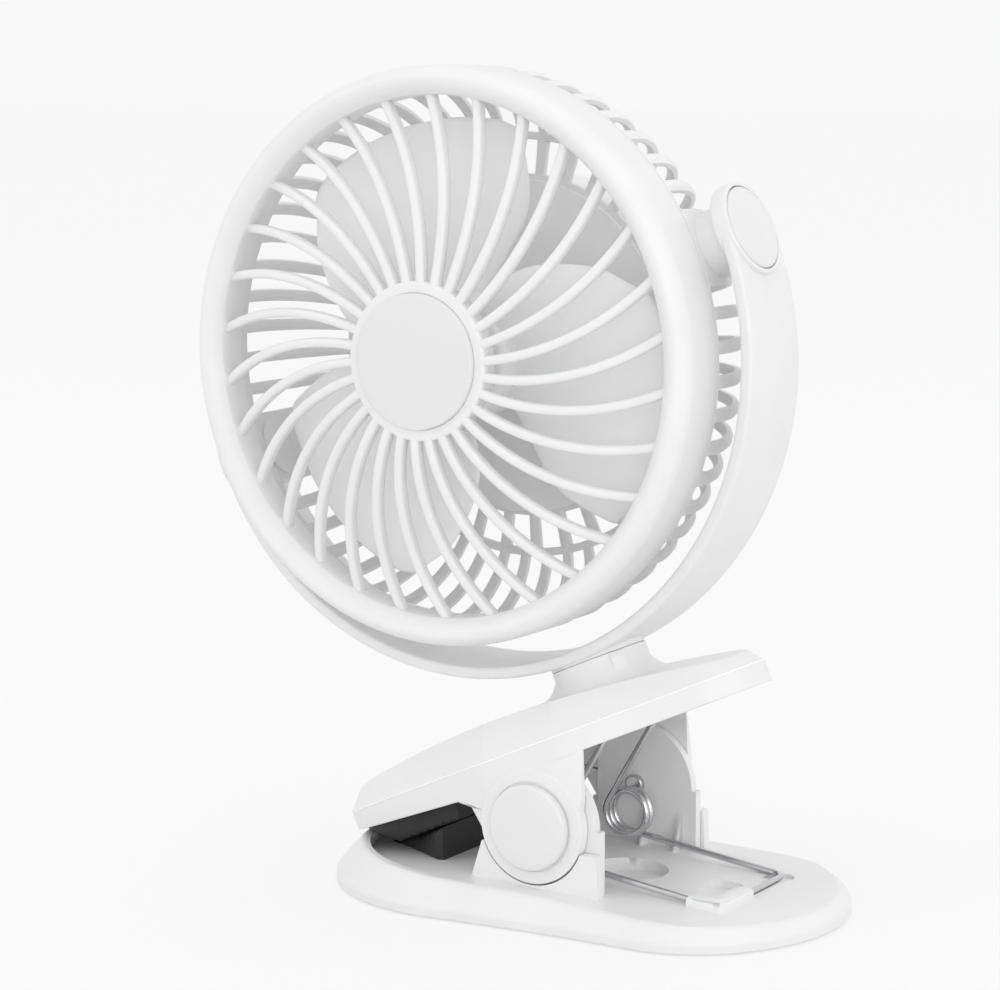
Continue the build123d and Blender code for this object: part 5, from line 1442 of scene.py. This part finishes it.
@dataclass
class GripPads:
    """The two ribbed rubbers between the jaws."""

    upper_nose: float = -47.2
    upper_r: float = 21.3
    upper_end: float = -27.5
    upper_face: float = 7.8
    knee: float = -50.0
    nose_u: float = -64.8
    nose_reach: float = 1.3
    taper_reach: float = 1.6
    soft: float = 1.3
    least_thick: float = 0.15
    seat: float = 15.0
    lower_tip: tuple[float, float] = (-60.5, 6.3)
    lower_taper: float = 0.625
    lower_half: float = 21.5
    lower_end: float = -34.0
    lower_gap: float = 0.3
    dish: tuple[tuple[float, float], tuple[float, float]] = ((-66.0, 6.9), (-21.0, 9.57))
    groove: float = 0.45
    groove_pitch: float = 2.9

    def build(self) -> None:
        """Builds both rubbers."""
        u = np.linspace(self.nose_u - self.nose_reach, self.upper_end, 160)
        reach = np.clip(self.upper_nose - u, 0, self.upper_r - 0.01)
        half = np.sqrt(self.upper_r ** 2 - reach ** 2)
        slope = (self.seat - self.upper_face) / (self.nose_u - self.taper_reach - self.knee)
        low = self.upper_face + np.clip(slope * (u - self.knee), 0, None)
        low = np.minimum(low + self._grooves(u), self.seat - self.least_thick)
        self._pad(JAW, u, half, low, np.full(len(u), self.seat), "upper_grip_rubber", Body.JAW,
                  "upper_jaw_pad")
        tip_x, tip_half = self.lower_tip
        x = np.linspace(tip_x, self.lower_end, 110)
        half = np.minimum(tip_half + self.lower_taper * (x - tip_x), self.lower_half)
        lean = math.radians(JAW.lean_deg)
        face = self.upper_face - self.lower_gap
        top = JAW.origin[2] + face / math.cos(lean) + x * math.tan(lean)
        floor = np.interp(x, *np.array(self.dish).T)
        top = np.maximum(top - self._grooves(x), floor + self.least_thick)
        self._pad(GROUND, x, half, floor, top, "lower_grip_rubber", Body.BASE, "lower_jaw_pad")

    def _grooves(self, along: np.ndarray) -> np.ndarray:
        """Rounded ribs across the rubber: depth (0.5 - 0.5 cos)^3 of the place over the pitch."""
        wave = 0.5 - 0.5 * np.cos(2 * np.pi * along / self.groove_pitch)
        return self.groove * wave ** 3

    def _pad(self, frame: TiltedFrame, along: np.ndarray, half: np.ndarray, low: np.ndarray,
             high: np.ndarray, name: str, body: Body, node: str) -> None:
        """Rounded sections carried along a pad.

        Args:
            frame: its working frame.
            along: places of the sections.
            half: half widths there.
            low: heights of the lower face.
            high: heights of the upper face.
            name: name of the piece.
            body: the body that it rides on.
            node: the CAD node that it stands for.
        """
        middle = (low + high) / 2
        path = np.stack([along, np.zeros(len(along)), middle], 1)
        section = box_section(2 * half, high - low, self.soft)
        Skin(frame).add(swept(path, section, ACROSS, UPWARDS), wrap_columns=True).piece(
            name, Looks.RUBBER, body, node)


@dataclass
class WireLip:
    """The low rounded lip on the deck that holds the near corner of the spring."""

    start: tuple[float, float] = (41.2, -18.9)
    corner: tuple[float, float] = (49.5, -18.9)
    end: tuple[float, float] = (49.5, -4.2)
    bend: float = 2.0
    width: float = 5.2
    low: float = 5.2
    high: float = 9.7
    soft: float = 1.6

    def build(self) -> None:
        """Carries a rounded section round the corner."""
        plan = rounded([self.start, self.corner, self.end], self.bend, False, 12)[12:27]
        middle = (self.low + self.high) / 2
        path = np.column_stack([plan, np.full(len(plan), middle)])
        along = unit_rows(np.gradient(path, axis=0))
        side = np.column_stack([-along[:, 1], along[:, 0], np.zeros(len(along))])
        section = box_section(self.width, self.high - self.low, self.soft)
        Skin(GROUND).add(swept(path, section, side, UPWARDS), wrap_columns=True).piece(
            "wire_lip", Looks.HOUSING, Body.BASE)


@dataclass
class ClipSpring:
    """One bright wire: a bridge, two lower legs, two coils of two turns and two upper legs."""

    wire: float = 1.8
    coil_r: float = 6.1
    coil_x: float = 3.0
    coil_z: float = 19.4
    pitch: float = 2.35
    turns: int = 2
    leg_y: float = 18.9
    bridge_x: float = 49.5
    bridge_z: float = 7.3848
    bend: float = 3.4
    saddle_u: float = 30.2
    saddle_w: float = 21.5
    coil_steps: int = 150
    leg_steps: int = 12

    def build(self) -> None:
        """Builds the wire and bakes its place into its points."""
        half, up = self._half_path()
        mirror = np.array([1.0, -1.0, 1.0])
        path = np.vstack([half[::-1] * mirror, half[1:]])
        tangent = unit_rows(np.gradient(path, axis=0))
        normal = np.vstack([up[::-1] * mirror, up[1:]])
        side = unit_rows(np.cross(tangent, normal))
        normal = unit_rows(np.cross(side, tangent))
        turn = np.linspace(0, 2 * np.pi, 14, endpoint=False)
        section = np.stack([np.cos(turn), np.sin(turn)], 1) * self.wire / 2
        item = Skin(GROUND).add(swept(path, section, side, normal), wrap_columns=True).piece(
            "spring_wire", Looks.WIRE, None, "clip_spring", sharp_deg=60)
        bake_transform(item)

    def _half_path(self) -> tuple[np.ndarray, np.ndarray]:
        """Middle line of the +Y half, from the bridge's middle to the upper end.

        The lower leg touches the coil, the coil is x + r cos a, z + r sin a with Y stepping
        inwards evenly, and the upper leg leaves it towards the saddle in the jaw.

        Returns:
            Points and the directions that the wire's section is set up by.
        """
        lean = math.radians(JAW.lean_deg)
        saddle_u = self.saddle_u - self.wire / 2
        saddle = (saddle_u * math.cos(lean) - self.saddle_w * math.sin(lean),
                  JAW.origin[2] + saddle_u * math.sin(lean) + self.saddle_w * math.cos(lean))
        low_angle = self._touch(self.bridge_x, self.bridge_z, -1)
        up_angle = self._touch(saddle[0], saddle[1], 1)
        turns = self.turns * 2 * np.pi + (low_angle % (2 * np.pi)) - up_angle
        share = np.linspace(0, 1, self.coil_steps)
        angle = low_angle - turns * share
        coil = np.stack([self.coil_x + self.coil_r * np.cos(angle),
                         self.leg_y - self.pitch * turns / (2 * np.pi) * share,
                         self.coil_z + self.coil_r * np.sin(angle)], 1)
        corner = np.array([self.bridge_x, self.leg_y, self.bridge_z])
        bridge = np.array([self.bridge_x, 0.0, self.bridge_z])
        lower = rounded([bridge, corner, coil[0]], self.bend, closed=False, steps=10)[10:23]
        span = np.linspace(0, 1, self.leg_steps)[1:-1, None]
        leg = lower[-2] * (1 - span) + coil[0] * span
        first = bridge * (1 - span) + lower[1] * span
        top = np.array([saddle[0], coil[-1, 1], saddle[1]])
        upper = coil[-1] * (1 - span) + top * span
        flat = np.vstack([bridge, first, lower[1:-1], leg])
        points = np.vstack([flat, coil, upper, top])
        plane = np.cross(ACROSS, coil[0] - corner)
        rest = points[len(flat):]
        slope = np.gradient(rest, axis=0)
        radial = -np.cross(slope, ACROSS)
        level = np.broadcast_to(plane / np.linalg.norm(plane), flat.shape)
        return points, np.vstack([level, unit_rows(radial)])

    def _touch(self, x: float, z: float, side: int) -> float:
        """Angle at which a straight leg to a point leaves the coil on one side.

        Args:
            x: place of the point along X.
            z: place of the point along Z.
            side: 1 or -1, which of the two touching lines.

        Returns:
            The angle in radians.
        """
        dx, dz = x - self.coil_x, z - self.coil_z
        reach = math.hypot(dx, dz)
        return math.atan2(dz, dx) + side * math.acos(self.coil_r / reach)


# ----------------------------------------------------------------------- studio
@dataclass(frozen=True)
class Lamp:
    """A square area lamp: where it hangs and its side, both in metres, and its power in watts."""

    name: str
    place: tuple[float, float, float]
    size: float
    power: float


def grey(level: float) -> tuple[float, float, float, float]:
    """A neutral colour."""
    return (level, level, level, 1.0)


@dataclass
class Studio:
    """Floor, lamps, world and the camera at the photograph's place."""

    camera_mm: tuple[float, float, float] = (400.2, -689.5, 224.3)
    target_mm: tuple[float, float, float] = (-29.0, 0.0, 107.3)
    lens_mm: float = 108.14
    sensor_mm: float = 36.0
    clip_m: tuple[float, float] = (0.01, 100.0)
    floor_half_m: float = 12.0
    floor_light: float = 0.8
    floor_shadow: float = 0.24
    floor_glow: float = 0.712
    world_color: float = 0.94
    world_strength: float = 0.92
    lamps: tuple[Lamp, ...] = (
        Lamp("key_lamp", (-1.45, -1.2, 0.9), 0.8, 2.2),
        Lamp("front_lamp", (1.15, -1.8, 0.45), 1.0, 5.2),
        Lamp("right_lamp", (1.7, -0.5, 0.6), 1.4, 3.8),
        Lamp("top_lamp", (0.1, 0.5, 1.8), 1.2, 1.0))

    def build(self) -> None:
        """Makes the floor, the world, the lamps and the camera."""
        self._floor()
        self._world()
        for lamp in self.lamps:
            self._lamp(lamp)
        self._camera()
        bpy.context.scene.view_settings.view_transform = "Standard"

    def _surface(self, nodes: Nodes, output: str, light: bpy.types.Node,
                 shown: bpy.types.Node) -> None:
        """Closes a tree that lights by one shader and shows another.

        Args:
            nodes: the tree.
            output: kind of its output node.
            light: the shader that every other ray meets.
            shown: the shader for camera, glossy and transmission rays.
        """
        rays = nodes.add("LightPath").outputs
        first = nodes.add("Math", {0: rays["Is Camera Ray"], 1: rays["Is Glossy Ray"]})
        either = nodes.add("Math", {0: first.outputs[0], 1: rays["Is Transmission Ray"]})
        first.operation = either.operation = "MAXIMUM"
        mix = nodes.add("MixShader", {"Fac": either.outputs[0], 1: light.outputs[0],
                                      2: shown.outputs[0]})
        nodes.add(output, {"Surface": mix.outputs[0]})

    def _floor(self) -> None:
        """A wide pale floor that shows mostly its own white and part of the shadow."""
        half = self.floor_half_m
        mesh = bpy.data.meshes.new("studio_floor")
        corners = [(-half, -half, 0), (half, -half, 0), (half, half, 0), (-half, half, 0)]
        mesh.from_pydata(corners, [], [(0, 1, 2, 3)])
        floor = bpy.data.objects.new("studio_floor", mesh)
        bpy.context.scene.collection.objects.link(floor)
        material = bpy.data.materials.new("studio_floor_white")
        nodes = Nodes(material)
        light = nodes.add("BsdfDiffuse", {"Color": grey(self.floor_light)})
        shadow = nodes.add("BsdfDiffuse", {"Color": grey(self.floor_shadow)})
        glow = nodes.add("Emission", {"Color": grey(1.0), "Strength": self.floor_glow})
        shown = nodes.add("AddShader", {0: shadow.outputs[0], 1: glow.outputs[0]})
        self._surface(nodes, "OutputMaterial", light, shown)
        mesh.materials.append(material)

    def _world(self) -> None:
        """Even light from all round, with a pale backdrop for what the camera sees."""
        world = bpy.data.worlds.new("studio_world")
        bpy.context.scene.world = world
        nodes = Nodes(world)
        light = nodes.add("Background", {"Color": grey(1.0), "Strength": self.world_strength})
        shown = nodes.add("Background", {"Color": grey(self.world_color), "Strength": 1.0})
        self._surface(nodes, "OutputWorld", light, shown)

    def _hang(self, data: bpy.types.Light | bpy.types.Camera, place: Vector) -> bpy.types.Object:
        """Puts a lamp or a camera at a place in metres and turns it to the fan.

        Args:
            data: the lamp or camera.
            place: its place in metres.

        Returns:
            The object in the scene.
        """
        item = bpy.data.objects.new(data.name, data)
        bpy.context.scene.collection.objects.link(item)
        item.location = place
        aim = Vector(self.target_mm) * MM - place
        item.rotation_euler = aim.to_track_quat("-Z", "Y").to_euler()
        return item

    def _lamp(self, lamp: Lamp) -> None:
        """Makes and hangs one lamp.

        Args:
            lamp: what to hang.
        """
        data = bpy.data.lights.new(lamp.name, "AREA")
        data.shape = "SQUARE"
        data.size = lamp.size
        data.energy = lamp.power
        self._hang(data, Vector(lamp.place))

    def _camera(self) -> None:
        """The camera at the place, aim and lens fitted to the photograph."""
        data = bpy.data.cameras.new("photo_camera")
        data.lens = self.lens_mm
        data.sensor_width = self.sensor_mm
        data.clip_start, data.clip_end = self.clip_m
        bpy.context.scene.camera = self._hang(data, Vector(self.camera_mm) * MM)


# -------------------------------------------------------------------- whole fan
def dress_frame(frame: dict) -> None:
    """Gives every CAD node its finish.
    """
    for node, item in frame["nodes"].items():
        material = NODE_LOOKS[node].value.material()
        if not item.material_slots:
            item.data.materials.append(material)
        for place in item.material_slots:
            place.material = material
        LOG.info("dressed %s with %s", node, material.name)


def main() -> None:
    """Builds the classes in order and reports each piece."""
    logging.basicConfig(level=logging.INFO, format="%(name)s: %(message)s")
    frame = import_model()
    dress_frame(frame)
    for part in (Grille(), RearCage(), Impeller(), Yoke(), HingeCovers(), UpperJaw(), GripPads(),
                 WireLip(), ClipSpring()):
        part.build()
    for part in (Moulding("lower_jaw", Body.BASE, Looks.HOUSING, BASE_ZONES),
                 Moulding("rear_pod", Body.HEAD, Looks.HOUSING)):
        part.build(frame)
    Studio().build()


if __name__ == "__main__":
    main()
